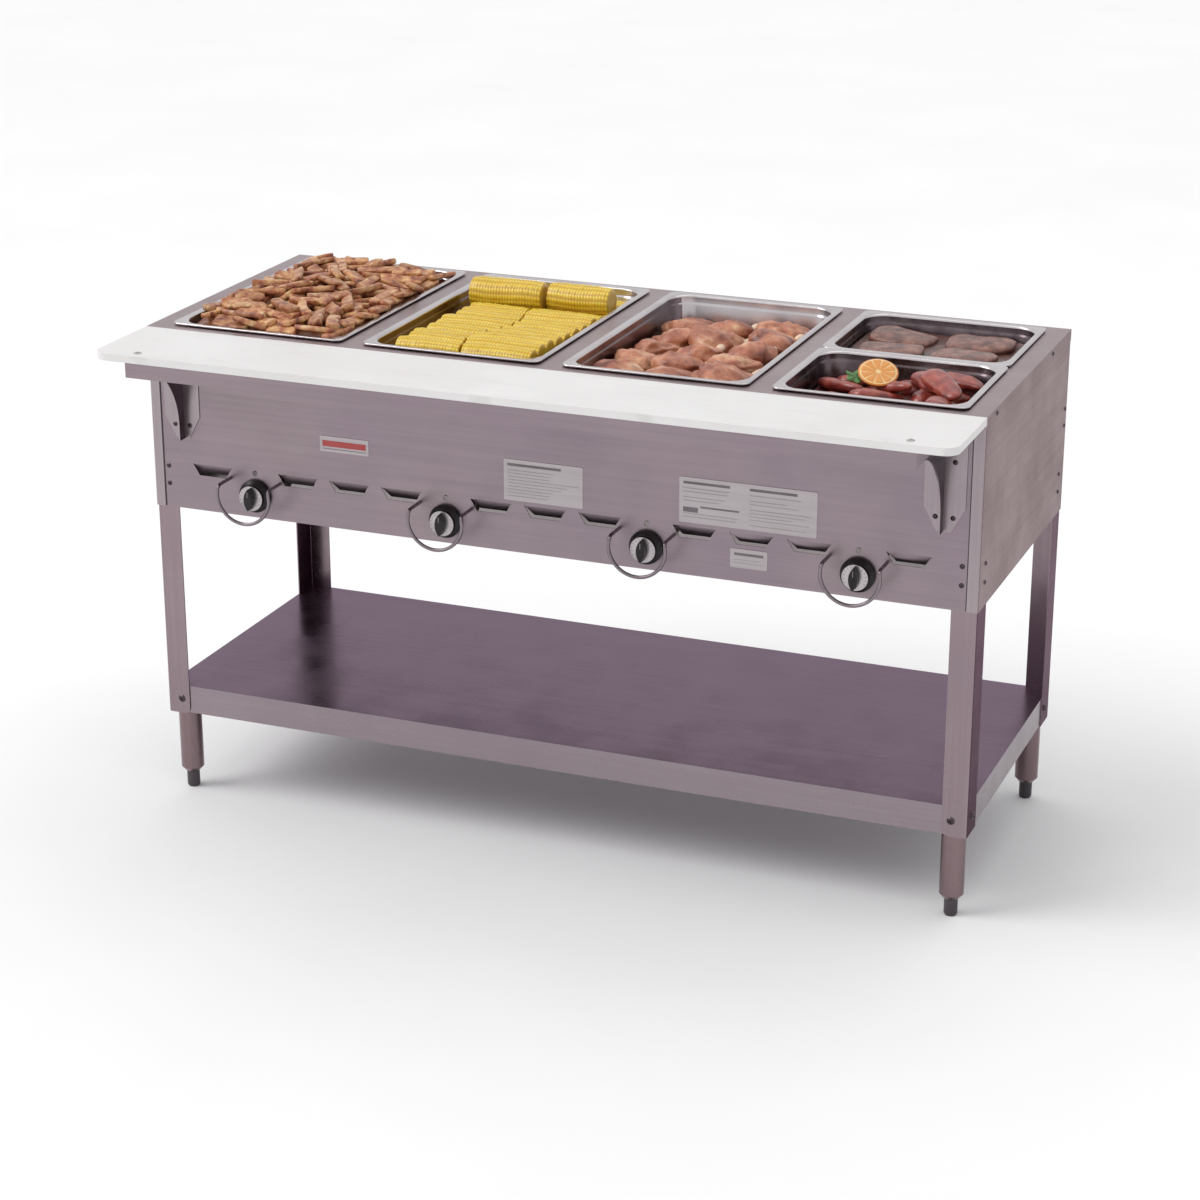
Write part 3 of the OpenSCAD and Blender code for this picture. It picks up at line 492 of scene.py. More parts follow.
def softened(node, material, width=0.0, segments=2):
    """Stands for a CAD node with edges rounded by width, in millimetres, and level flat faces."""
    mesh = frame["nodes"][node].data.copy()
    work = bmesh.new()
    work.from_mesh(mesh)
    bmesh.ops.remove_doubles(work, verts=work.verts, dist=WELD)
    bmesh.ops.dissolve_limit(work, angle_limit=FLAT, verts=work.verts, edges=work.edges)
    work.to_mesh(mesh)
    work.free()
    piece = as_piece(node + "_skin", mesh, material, body_of(node))
    if width:
        bevel = piece.modifiers.new("edges", "BEVEL")
        bevel.width = width * MM
        bevel.segments = segments
        bevel.limit_method = "ANGLE"
        bevel.angle_limit = SHARP
        bevel.miter_outer = "MITER_ARC"
        baked(piece)
        tidy_normals(piece.data, 40)
    level = piece.modifiers.new("level", "WEIGHTED_NORMAL")
    level.weight = 100
    level.keep_sharp = True
    baked(piece)
    stand_in(node)
    return piece


def solids(node):
    """The lowest and highest corner of each separate solid of a CAD node, in millimetres."""
    work = bmesh.new()
    work.from_mesh(frame["nodes"][node].data)
    bmesh.ops.remove_doubles(work, verts=work.verts, dist=WELD / 2)
    seen, boxes = set(), []
    for start in work.verts:
        if start in seen:
            continue
        seen.add(start)
        queue, found = [start], []
        while queue:
            vert = queue.pop()
            found.append(tuple(vert.co / MM))
            for edge in vert.link_edges:
                other = edge.other_vert(vert)
                if other not in seen:
                    seen.add(other)
                    queue.append(other)
        boxes.append((Vector(np.min(found, 0)), Vector(np.max(found, 0))))
    work.free()
    return sorted(boxes, key=lambda b: tuple(round(c, 1) for c in b[0]))


def merged(parts):
    """Joins (points, faces) pairs into one pair."""
    verts, faces, base = [], [], 0
    for points, loops in parts:
        verts.extend(map(tuple, points))
        faces.extend([tuple(base + i for i in f) for f in loops])
        base += len(points)
    return verts, faces


def grid_faces(rings, sides, first=0):
    """Quads between rings of points, each ring closed on itself."""
    return [
        (first + r * sides + k, first + r * sides + (k + 1) % sides,
         first + (r + 1) * sides + (k + 1) % sides, first + (r + 1) * sides + k)
        for r in range(rings - 1)
        for k in range(sides)
    ]


def turned(points, yaw=0.0, pitch=0.0, roll=0.0, at=(0, 0, 0)):
    """Points along X, rolled, tipped up and swung round, then moved."""
    aimed = Matrix.Rotation(yaw, 3, "Z") @ Matrix.Rotation(-pitch, 3, "Y")
    spin = aimed @ Matrix.Rotation(roll, 3, "X")
    return np.asarray(points) @ np.array(spin).T + np.array(at)


def paint(piece, name, values):
    """Stores a number for each point of a piece, or a colour, for its material to read."""
    values = np.asarray(values, np.float32)
    if values.ndim == 1:
        piece.data.attributes.new(name, "FLOAT", "POINT").data.foreach_set("value", values)
    else:
        layer = piece.data.attributes.new(name, "FLOAT_COLOR", "POINT")
        full = np.ones((len(values), 4), np.float32)
        full[:, :3] = values
        layer.data.foreach_set("color", full.ravel())


def tube(path, radius, sides=12):
    """A closed round wire along a path of points."""
    path = [Vector(p) for p in path]
    verts, side = [], Vector((0, 0, 1))
    for i, point in enumerate(path):
        ahead = (path[min(i + 1, len(path) - 1)] - path[max(i - 1, 0)]).normalized()
        if abs(side.dot(ahead)) < 0.99:
            side = (side - ahead * side.dot(ahead)).normalized()
        else:
            side = ahead.orthogonal()
        other = ahead.cross(side)
        for k in range(sides):
            a = TAU * k / sides
            verts.append(tuple(point + radius * (math.cos(a) * side + math.sin(a) * other)))
    faces = grid_faces(len(path), sides)
    faces.append(tuple(range(sides)))
    faces.append(tuple(reversed(range((len(path) - 1) * sides, len(path) * sides))))
    return verts, faces


def box_mesh(low, high):
    x0, y0, z0 = low
    x1, y1, z1 = high
    verts = [(x, y, z) for z in (z0, z1) for x, y in ((x0, y0), (x1, y0), (x1, y1), (x0, y1))]
    return verts, [(0, 3, 2, 1), (4, 5, 6, 7), (0, 1, 5, 4), (1, 2, 6, 5), (2, 3, 7, 6), (3, 0, 4, 7)]


# ---------------------------------------------------------------- pans


CORNER_STEPS = 9
RIM_CORNER = 14.0
WALL_CORNER = 38.0
WALL_INSET = 11.5
WALL_DRAFT = 7.0
BEAD = 1.6
FLOOR_ROUND = 10.0


def rounded_ring(low, high, inset, radius, z):
    """Points round a rectangle with rounded corners, set in from a box's sides."""
    points = []
    for q in range(4):
        cx = high.x - inset - radius if q in (0, 3) else low.x + inset + radius
        cy = high.y - inset - radius if q < 2 else low.y + inset + radius
        for k in range(CORNER_STEPS + 1):
            a = math.radians(90 * (q + k / CORNER_STEPS))
            points.append((cx + radius * math.cos(a), cy + radius * math.sin(a), z))
    return points


def arc(centre, radius, start, end, steps):
    """(inset, z) points on an arc; 0 degrees is towards the pan's middle and 90 is up."""
    angles = [math.radians(start + (end - start) * k / steps) for k in range(steps + 1)]
    return [(centre[0] + radius * math.cos(a), centre[1] + radius * math.sin(a)) for a in angles]


def pan_profile(top, bottom):
    """The pan's section as (inset, z) points: over the rim, down inside, and back underneath."""
    foot = (WALL_INSET + WALL_DRAFT + FLOOR_ROUND + 1, bottom + 1 + FLOOR_ROUND)
    inside = [(BEAD, top - 2 * BEAD)] + arc((BEAD, top - BEAD), BEAD, 225, 90, 6)
    inside += arc((8.5, top - 4.6), 4.0, 95, 0, 6)
    inside += [(12.9, top - 13), (13.3, top - 14.5), (14.3, top - 16.5), (14.8, top - 18)]
    inside += arc(foot, FLOOR_ROUND, 180, 270, 6)
    under = arc(foot, FLOOR_ROUND + 1, 270, 180, 6)
    under += [(13.8, top - 18), (13.3, top - 17), (12.3, top - 15), (11.9, top - 13)]
    under += arc((8.5, top - 4.6), 3.0, 0, 95, 5)
    under += [(4.0, top - 1.0), (3.2, top - 1.2), (2.4, top - 2.4)]
    return inside, under


def corner_at(inset):
    if inset < BEAD:
        return RIM_CORNER - max(inset, 0.0)
    if inset < WALL_INSET:
        share = (inset - BEAD) / (WALL_INSET - BEAD)
        return (RIM_CORNER - BEAD) * (1 - share) + WALL_CORNER * share
    return WALL_CORNER - max(0, inset - WALL_INSET - WALL_DRAFT)


def add_pan(node, stained=False):
    """A drawn steam-table pan with painted shade on its left wall, or its whole inside in a darker
    finish.
    """
    low, high = box_of(node)
    inside, under = pan_profile(high.z, low.z)
    profile = inside + under
    verts = [p for inset, z in profile for p in rounded_ring(low, high, inset, corner_at(inset), z)]
    sides = 4 * (CORNER_STEPS + 1)
    faces = grid_faces(len(inside), sides)
    faces.append(tuple(range((len(inside) - 1) * sides, len(inside) * sides)))
    faces += grid_faces(len(under), sides, len(inside) * sides)
    faces.append(tuple(range(len(inside) * sides, (len(inside) + 1) * sides)))
    last = (len(profile) - 1) * sides
    faces += [(last + k, last + (k + 1) % sides, (k + 1) % sides, k) for k in range(sides)]
    pan = new_piece(node + "_shell", verts, faces, "pan", body_of(node), 50)
    pan.data.materials.append(MATERIALS["pan_stained" if stained else "pan_shade"])
    wall_top = (high.z - 5) * MM
    middle = (low + high) / 2 * MM
    for face in pan.data.polygons:
        towards = (middle - face.center).normalized()
        inner = face.center.z < wall_top and face.normal.dot(towards) > 0.1
        # Painted shade: the left wall's inner faces, facing +X, take the darker second finish; half
        # pans take it on every inner face.
        if inner and (stained or face.normal.x > 0.6):
            face.material_index = 1
    stand_in(node)


# ---------------------------------------------------------------- food


def blob(rng, length, width, height, sides, rings, taper=0.0, bend=0.0,
         lump=0.07, square=2.3, blunt=2.6, fold=0.0):
    """A rounded, lumpy piece along X, as points and faces.

    Taper narrows its far end, square and blunt fill out its section and its ends, and fold
    creases its skin.
    """
    t = -np.cos(np.pi * np.arange(1, rings + 1) / (rings + 1))
    size = (1 - np.abs(t) ** blunt) ** (1 / blunt) * (1 - taper * t)
    a = TAU * np.arange(sides) / sides
    across = np.sign(np.cos(a)) * np.abs(np.cos(a)) ** (2 / square)
    upward = np.sign(np.sin(a)) * np.abs(np.sin(a)) ** (2 / square)
    x = np.repeat(t * length / 2, sides)
    y = (size[:, None] * across[None, :] * width / 2).ravel()
    z = (size[:, None] * upward[None, :] * height / 2).ravel()
    swell = np.ones_like(x)
    for k in range(9):
        wave = rng.normal(0, 1, 3) * (2.2 if k < 5 else 5.0) / np.array([width, width, height])
        turn = np.sin(x * wave[0] + y * wave[1] + z * wave[2] + rng.uniform(0, TAU))
        swell += lump * turn if k < 5 else fold * (0.6 - np.abs(turn))
    y, z = y * swell, z * swell
    points = np.stack([x, y + bend * np.repeat(t * t, sides), z], 1)
    ends = np.array([[-length / 2, bend, 0], [length / 2, bend, 0]])
    faces = grid_faces(rings, sides)
    n = rings * sides
    faces += [(n, (k + 1) % sides, k) for k in range(sides)]
    faces += [(n + 1, n - sides + k, n - sides + (k + 1) % sides) for k in range(sides)]
    return np.vstack([points, ends]), faces


class Heap:
    """A height map over a pan's middle, on which pieces come to rest one after another."""

    CELL = 3.0
    SLOPES = (-0.36, -0.24, -0.12, 0.0, 0.12, 0.24, 0.36)
    TRIES = 10

    def __init__(self, half_x, half_y, level):
        self.half = np.array([half_x, half_y])
        x, y = (np.arange(-h, h + self.CELL, self.CELL) for h in self.half)
        self.x, self.y = np.meshgrid(x, y, indexing="ij")
        self.top = np.full_like(self.x, level)

    def under(self, *place):
        cells = [((p + h) / self.CELL).round().astype(int) for p, h in zip(place, self.half)]
        i, j = (np.clip(c, 0, n - 1) for c, n in zip(cells, self.top.shape))
        return self.top[i, j]

    def rest(self, x, y, yaw, length, width):
        """The lowest (height, slope) at which a piece lies on what is below it."""
        t = np.linspace(-0.46, 0.46, 9)[:, None] * length
        s = np.array([-0.3, 0.0, 0.3])[None, :] * width
        c, d = math.cos(yaw), math.sin(yaw)
        peaks = self.under(x + t * c - s * d, y + t * d + s * c).max(1)
        return min((float((peaks - m * t[:, 0]).max()), m) for m in self.SLOPES)

    def lay(self, x, y, yaw, length, width, height, base, slope):
        t = (self.x - x) * math.cos(yaw) + (self.y - y) * math.sin(yaw)
        s = -(self.x - x) * math.sin(yaw) + (self.y - y) * math.cos(yaw)
        inside = (np.abs(t) < length / 2) & (np.abs(s) < width / 2)
        crown = np.sqrt(np.clip(1 - (2 * s / width) ** 2, 0, 1))
        self.top = np.where(inside, np.maximum(self.top, base + slope * t + height * crown), self.top)

    def drop(self, rng, length, width, height, sink, limit):
        """Lays one piece in the lowest of a few random places, if it stays below the limit."""
        best = None
        for _ in range(self.TRIES):
            turn = rng.uniform(0, math.pi)
            reach = np.abs([math.cos(turn), math.sin(turn)]) * length / 2 + width * 0.35
            x, y = rng.uniform(-1, 1, 2) * (self.half - reach)
            base, slope = self.rest(x, y, turn, length, width)
            peak = base + height - sink + length / 2 * abs(slope)
            if peak < limit(x, y) and (best is None or base < best[0]):
                best = (base, slope, x, y, turn)
        return self.set_down(*best[2:], length, width, height, sink) if best else None

    def set_down(self, x, y, yaw, length, width, height, sink):
        """Lays one piece at a place and says where its middle comes to rest, and its yaw and pitch."""
        base, slope = self.rest(x, y, yaw, length, width)
        self.lay(x, y, yaw, length, width, height, base - sink, slope)
        return x, y, base - sink + height / 2, yaw, math.atan(slope)


class Load:
    """The food in one pan: its parts and how dark each is, in millimetres from the pan's middle."""

    WALL = WALL_INSET + WALL_DRAFT + 1.5
    RINGS = 7

    def __init__(self, pan, seed):
        self.rng = np.random.default_rng(seed)
        self.low, self.high = box_of(pan)
        self.middle = (self.low + self.high) / 2
        self.floor, self.rim = self.low.z + 1.2, self.high.z
        self.parts, self.tones = [], []

    def bed(self, lump, tone, *levels):
        """Fills the pan to a lumpy top. The levels are (extra inset, corner radius, z, dx, dy)."""
        verts = []
        for extra, radius, z, dx, dy in ((8, 30, self.floor, 0, 0), *levels):
            ring = rounded_ring(self.low, self.high, self.WALL + extra, radius, z)
            verts += [(x + dx, y + dy, z) for x, y, z in ring]
        sides, centre = len(ring), np.mean(ring, 0)
        moved = np.array(ring) + [dx, dy, 0] - centre
        for k in range(1, self.RINGS):
            share = 1 - k / self.RINGS
            verts += [tuple(centre + p * [share, share, 1]) for p in moved]
        verts = np.array(verts)
        faces = [tuple(reversed(range(sides)))] + grid_faces(len(levels) + self.RINGS, sides)
        faces.append(tuple(range(len(verts) - sides, len(verts))))
        top = verts[:, 2] > levels[-2][2]
        for _ in range(6):
            kx, ky = self.rng.normal(0, 0.05, 2)
            wave = np.sin(kx * verts[:, 0] + ky * verts[:, 1] + self.rng.uniform(0, TAU))
            verts[:, 2] += top * lump * wave / 3
        self.parts.append((verts, faces))
        self.tones.append(np.full(len(verts), tone))

    def add(self, shape, at, yaw=0.0, pitch=0.0, roll=0.0, tone=0.0):
        """Puts a part, given as points and faces, with its middle at a place."""
        points, faces = shape
        at = (self.middle.x + at[0], self.middle.y + at[1], at[2])
        self.parts.append((turned(points, yaw, pitch, roll, at), faces))
        self.tones.append(np.full(len(points), tone))

    def finish(self, name, material, node):
        """Joins it all into one piece, which stands for the food's CAD node."""
        food = new_piece(name, *merged(self.parts), material, body_of(node), 180)
        paint(food, "tone", np.concatenate(self.tones))
        stand_in(node)


STRIPS = 330
STRIP_LENGTH = (52, 92)
STRIP_WIDTH = (16, 24)
STRIP_THICKNESS = (0.46, 0.58)


def add_strips():
    """Fried strips heaped from wall to wall, with a row laid along three of the walls."""
    load = Load("pan_1", 11)
    rng, rim = load.rng, load.rim
    # Painted shade: the bed under the strips takes the darkest tone, for the dark gaps between them.
    load.bed(3, 1.0, (1, 36, load.low.z + 14, 0, 0), (-3, 36, rim - 16, 0, 0), (6, 40, rim - 6, 0, 0))
    half_x = (load.high.x - load.low.x) / 2 - 15
    half_y = (load.high.y - load.low.y) / 2 - 15
    heap = Heap(half_x, half_y, rim - 6.0)

    def limit(x, y):
        edge = max(abs(x) / half_x, abs(y) / half_y)
        return rim + 10 + (14 - 5 * x / half_x) * (1 - edge ** 4)

    along = [(half_x - 14, y, math.pi / 2) for y in range(-212, 230, 52)]
    along += [(x, half_y - 17, 0) for x in range(-96, 110, 56)]
    along += [(x, 14 - half_y, 0) for x in range(-70, 110, 56)]
    for spot in along + [None] * STRIPS:
        length, width = rng.uniform(*STRIP_LENGTH), rng.uniform(*STRIP_WIDTH)
        height = width * rng.uniform(*STRIP_THICKNESS)
        if spot:
            jitter = rng.normal(0, (1.5, 6, 0.09) if spot[2] else (6, 1.5, 0.09))
            place = heap.set_down(*(np.array(spot) + jitter), length, width, height, 2.0)
        else:
            place = heap.drop(rng, length, width, height, 2.0, limit)
        if place is None:
            continue
        *at, yaw, pitch = place
        bend, taper = rng.uniform(-5, 5), rng.uniform(-0.12, 0.12)
        strip = blob(rng, length, width, height, 16, 14, taper, bend, 0.035, 4.6, 9.0)
        load.add(strip, at, yaw, pitch, rng.uniform(-0.5, 0.5), max(0, rng.normal(0.15, 0.3)))
    load.finish("fried_strips", "strips", "food_pan_1")


KERNEL_ROWS = 16
KERNEL_PITCH = 5.4
KERNEL_STEPS = 3
KERNEL_VALLEY = 1.9


def cob(rng, length, radius):
    """An ear of corn along X: points, faces and how deep each point lies between kernels."""
    count = int(length / KERNEL_PITCH)
    rings, sides = count * KERNEL_STEPS + 1, KERNEL_ROWS * KERNEL_STEPS
    i, k = np.meshgrid(np.arange(rings), np.arange(sides), indexing="ij")
    valley = np.maximum((i % KERNEL_STEPS == 0) * 0.75, (k % KERNEL_STEPS == 0) * 1.0)
    valley = valley * (1 - 0.2 * rng.random(valley.shape))
    kernel = rng.normal(0, 0.35, (count + 1, KERNEL_ROWS))[i // KERNEL_STEPS, k // KERNEL_STEPS]
    t = 2 * i / (rings - 1) - 1
    profile = radius * (1 - 0.09 * np.abs(t) ** 6) * (1 - 0.02 * t)
    r = profile - KERNEL_VALLEY * valley + kernel * (valley < 0.5)
    a = TAU * k / sides + 0.05 * np.sin(i * 0.09 + rng.uniform(0, TAU))
    x = t * length / 2 + rng.normal(0, 0.15, t.shape)
    points = np.stack([x, r * np.cos(a), r * np.sin(a)], -1).reshape(-1, 3)
    faces = grid_faces(rings, sides)
    # Painted shade: points between the kernels get a darker tone, the deeper the darker.
    tones = valley.ravel() * 0.85
    hub_y, hub_z = 0.55 * radius * np.cos(a[0]), 0.55 * radius * np.sin(a[0])
    for end, first in ((-1, 0), (1, (rings - 1) * sides)):
        base = len(points)
        hub = np.stack([np.full(sides, end * (length / 2 - 1.5)), hub_y, hub_z], 1)
        points = np.vstack([points, hub])
        for q in range(sides):
            n = (q + 1) % sides
            faces.append((first + q, first + n, base + n, base + q))
        faces.append(tuple(range(base, base + sides)))
        tones = np.concatenate([tones, np.full(sides, 0.7)])
    return points, faces, tones


EAR_RADIUS = 22.0
EAR_PITCH = 38.0
TOP_EARS = (80, 165)
CRUMBS = 17
LEFT_CRUMBS = 15


def add_corn():
    """Ears of corn in two columns, with two more lying on top at the back."""
    load = Load("pan_2", 5)
    rng, rim, half_y = load.rng, load.rim, (load.high.y - load.low.y) / 2
    # Painted shade: the bed under the ears takes a dark tone, for the gaps between them.
    load.bed(4, 0.9, (1, 36, load.low.z + 14, 0, 0), (0, 36, rim - 34, 0, 0), (8, 40, rim - 26, 0, 0))

    def lay(x0, x1, y, z, radius, yaw=0.0):
        points, faces, depth = cob(rng, x1 - x0, radius)
        yaw += rng.normal(0, 0.012)
        load.add((points, faces), ((x0 + x1) / 2, y, z), yaw, 0, rng.uniform(0, TAU), depth)

    def near(value, spread):
        return value + rng.uniform(-spread, spread)

    y, row = load.WALL + EAR_RADIUS - 4 - half_y, 0
    while y < half_y - load.WALL - EAR_RADIUS:
        if TOP_EARS[0] < y < TOP_EARS[1]:
            y += 5
            continue
        seam = 10 - 12 * math.sin(0.9 * row)
        level = rim - 14 - 0.05 * (y + 200)
        lay(-108 + 6 * math.sin(2.3 * row), seam - 2, y, near(level, 2), near(EAR_RADIUS, 1))
        lay(seam + 2, 137, near(y, 3), near(level + 1, 2), near(EAR_RADIUS, 1))
        y += EAR_PITCH
        row += 1
    lay(-127, 8, 128, rim + 1, 29.0, 0.03)
    lay(16, 132, 142, rim, 27.5, -0.03)
    for k in range(CRUMBS):
        size = rng.uniform(20, 34), rng.uniform(14, 20), rng.uniform(11, 16)
        crumb = blob(rng, *size, 12, 10, lump=0.1, fold=0.06)
        if k < LEFT_CRUMBS:
            x, y, z = -130 + rng.uniform(0, 16), -205 + 18 * k, rim - 36
        else:
            x, y, z = 130 - k % 2, 120 + 24 * (k - LEFT_CRUMBS), rim - 22
        at = (x, y, near(z, 3))
        load.add(crumb, at, rng.uniform(0, TAU), near(0, 0.3), 0, rng.uniform(0.55, 1.0))
    load.finish("corn_ears", "corn", "food_pan_2")


PIECE_COLUMNS = ((-80, 14, 13), (2, -10, 4), (92, 10, 0))
PIECE_ROWS = 5
PIECE_PITCH = 84


def add_pieces():
    """Browned pieces on the bone in three columns, lower towards the left and the back."""
    load = Load("pan_3", 23)
    rng, rim = load.rng, load.rim
    # Painted shade: the bed under the pieces takes the darkest tone, for the dark gaps between them.
    load.bed(4, 1.0, (1, 36, load.low.z + 14, 0, 0), (4, 36, rim - 62, 0, 0), (14, 40, rim - 56, 4, -6))
    for x, shift, lower in PIECE_COLUMNS:
        for row in range(PIECE_ROWS):
            y = -175 + row * PIECE_PITCH + shift + rng.uniform(-7, 7)
            yaw = math.radians(62) + rng.uniform(-0.4, 0.4)
            at = np.array((x + rng.uniform(-7, 7), y, rim - 24 - 2 * row - lower))
            length, width, height = rng.uniform(104, 120), rng.uniform(66, 76), rng.uniform(38, 44)
            bend = rng.uniform(-16, 16)
            thigh = blob(rng, length, width, height, 44, 40, 0.42, bend, 0.05, 2.1, 2.1, 0.12)
            tone = rng.uniform(0, 0.2)
            load.add(thigh, at, yaw, -0.16, rng.uniform(-0.35, 0.35), tone)
            beside = at + (rng.uniform(-22, -8), rng.uniform(-30, -10), rng.uniform(3, 8))
            size = 0.7 * length, 0.6 * width, 0.5 * height
            flap = blob(rng, *size, 30, 28, 0.2, 10, 0.07, 2.1, 2.2, 0.12)
            turn = yaw + rng.uniform(-0.9, 0.9)
            load.add(flap, beside, turn, 0.05, rng.uniform(-0.5, 0.5), tone)
            if rng.random() < 0.75:
                along = 0.47 * length * np.array((math.cos(yaw), math.sin(yaw), -0.08))
                knuckle = blob(rng, 26, 15, 13, 14, 12, -0.2, 0, 0.06, 2.2, 2.4, 0.05)
                turn = yaw + rng.uniform(-0.3, 0.3)
                load.add(knuckle, at + along + (0, 0, 5), turn, 0.1, 0, -rng.uniform(0.6, 0.95))
    load.finish("glazed_pieces", "pieces", "food_pan_3")


def add_fillets():
    """Four flat fillets in dark gravy in the rear half pan."""
    load = Load("half_pan_rear", 31)
    rng, floor = load.rng, load.floor
    load.bed(1, 0.95, (1, 34, floor + 28, 0, 0), (0, 34, floor + 37, 0, 0), (3, 32, floor + 38, 0, 0))

    def about(spread):
        return rng.uniform(-spread, spread)

    for x in (-66, 64):
        for y in (-38, 52):
            size = rng.uniform(110, 120), rng.uniform(76, 84), 20
            fillet = blob(rng, *size, 32, 24, 0.08, 4, 0.05, 2.6, 3.6, 0.04)
            at = (x + about(4), y + about(3), floor + 42)
            load.add(fillet, at, about(0.15), about(0.04), about(0.06), rng.uniform(0.0, 0.12))
    load.finish("fillets", "fillets", "food_half_rear")


# Each red piece's place in its pan, yaw, length and width, from the bottom of the heap up
WINGS = (
    (40, -70, 0.3, 96, 38), (-60, -50, -0.2, 100, 36), (100, -45, 1.3, 84, 38),
    (-20, -8, 0.5, 92, 36), (70, 40, 0.6, 100, 40), (-92, 26, -0.58, 104, 36),
    (-86, 82, 0.4, 56, 38), (2, 20, -0.4, 70, 32), (30, 78, 0.2, 84, 34),
    (46, 56, -0.95, 92, 38), (84, 6, -0.8, 108, 44), (98, 84, -0.3, 84, 38),
)
WING_SINK = 6


def add_glazed():
    """Red glazed pieces with an orange slice and a leaf in the front half pan."""
    load = Load("half_pan_front", 47)
    rng, floor = load.rng, load.floor
    load.bed(2, 0.95, (1, 34, floor + 14, 0, 0), (3, 34, floor + 19, 0, 0), (6, 32, floor + 20, 0, 0))
    heap = Heap(132, 100, floor + 19)
    for x, y, yaw, length, width in WINGS:
        height = rng.uniform(20, 25)
        *at, yaw, pitch = heap.set_down(x, y, yaw, length, width, height, WING_SINK)
        bend, taper = rng.uniform(-12, 12), rng.uniform(0.1, 0.4)
        wing = blob(rng, length, width, height, 26, 26, taper, bend, 0.06, 2.2, 2.5, 0.04)
        load.add(wing, at, yaw, pitch, rng.uniform(-0.4, 0.4), rng.uniform(0, 0.25))
    load.finish("glazed_wings", "glazed", "food_half_front")
    at = Vector((load.middle.x - 32, load.middle.y + 34, floor + 57))
    add_orange_slice(at)
    add_leaf(at + Vector((-34, -14, -6)))


SLICE_RADIUS = 33.0
SLICE_HALF = 3.0
SEGMENTS = 10


def add_orange_slice(at):
    """A round slice: rind, pale pith, and segments that swell between their skins."""
    radii = [0, 3, 6, 11, 16, 21, 25, 27.5, 28.5, 30, 31, 32.2, SLICE_RADIUS]
    sides = SEGMENTS * 8
    flesh, pith, rind = (0.72, 0.27, 0.02), (0.86, 0.62, 0.28), (0.66, 0.20, 0.008)
    verts, colours = [], []
    for up in (1, -1):
        for r in radii if up > 0 else reversed(radii[:-1]):
            for k in range(sides):
                a = TAU * k / sides
                skin = abs((k % 8) - 4) / 4
                pulp = 5 < r < 28
                rise = 0.9 * (1 - skin ** 3) if pulp else (0.0 if r < 30.5 else -0.5 * (r - 30.5))
                verts.append((r * math.cos(a), r * math.sin(a), up * (SLICE_HALF + rise)))
                shade = np.array(flesh if pulp and skin < 0.9 else pith if r < 30.5 else rind)
                colours.append(shade * (0.9 + 0.14 * math.sin(k * 2.4 + r)))
    faces = grid_faces(2 * len(radii) - 1, sides)
    points = turned(verts, 0.38, 0, 0.45, at)
    piece = new_piece("orange_slice", points, faces, "citrus", "front_half_pan", 60)
    paint(piece, "paint", colours)


def add_leaf(at):
    """A curled, lobed garnish leaf."""
    sides, rings = 36, 6
    verts, colours = [], []
    for layer in (1, -1):
        for ring in range(rings):
            for k in range(sides):
                a = TAU * k / sides
                edge = 15 * (1 + 0.22 * math.cos(5 * a) + 0.06 * math.cos(15 * a))
                r = edge * (ring / (rings - 1) if layer > 0 else 1 - ring / (rings - 1) * 0.999)
                x, y = r * math.cos(a), 0.8 * r * math.sin(a)
                curl = 0.014 * (x * x - 0.5 * y * y) + 1.2 * math.cos(5 * a) * r / 15
                verts.append((x, y, curl + layer * 0.35))
                vein = 1.0 if k % 7 else 1.5
                colours.append(np.array((0.06, 0.17, 0.035)) * vein * (0.8 + 0.3 * r / 15))
    faces = grid_faces(2 * rings, sides)
    points = turned(verts, 0.4, 0, 0.6, at)
    piece = new_piece("garnish_leaf", points, faces, "leaf", "front_half_pan", 180)
    paint(piece, "paint", colours)


# ---------------------------------------------------------------- controls, plates and fasteners


def add_guards():
    """Bent-wire guards round the lower part of each knob."""
    wire, bend = 3.0, 9.0
    parts = []
    for low, high in solids("knob_guards"):
        centre_x = (low.x + high.x) / 2
        radius = (high.x - low.x) / 2 - wire
        centre_z = low.z + wire + radius
        front = low.y + wire
        lift = math.asin((high.z - wire - centre_z) / radius)
        arc_points = []
        for k in range(49):
            a = math.pi - lift + (math.pi + 2 * lift) * k / 48
            x, z = centre_x + radius * math.cos(a), centre_z + radius * math.sin(a)
            arc_points.append(Vector((x, front, z)))
        path = [Vector((arc_points[0].x, high.y - 0.05, arc_points[0].z))]
        path += bend_points(path[0], arc_points[0], arc_points[4], bend)
        path += arc_points[5:-5]
        end = Vector((arc_points[-1].x, high.y - 0.05, arc_points[-1].z))
        path += bend_points(arc_points[-5], arc_points[-1], end, bend) + [end]
        parts.append(tube(path, wire))
    piece = new_piece("guard_wires", *merged(parts), "wire", "root", 60)
    stand_in("knob_guards")


def bend_points(a, corner, b, size):
    """A smooth bend from the line a-corner to the line corner-b."""
    start = corner + (a - corner).normalized() * size
    end = corner + (b - corner).normalized() * size
    steps = [k / 6 for k in range(7)]
    return [start * (1 - t) ** 2 + corner * 2 * t * (1 - t) + end * t * t for t in steps]


RECESS = 0.45  # depth of a screw's cross, as a share of its head's height


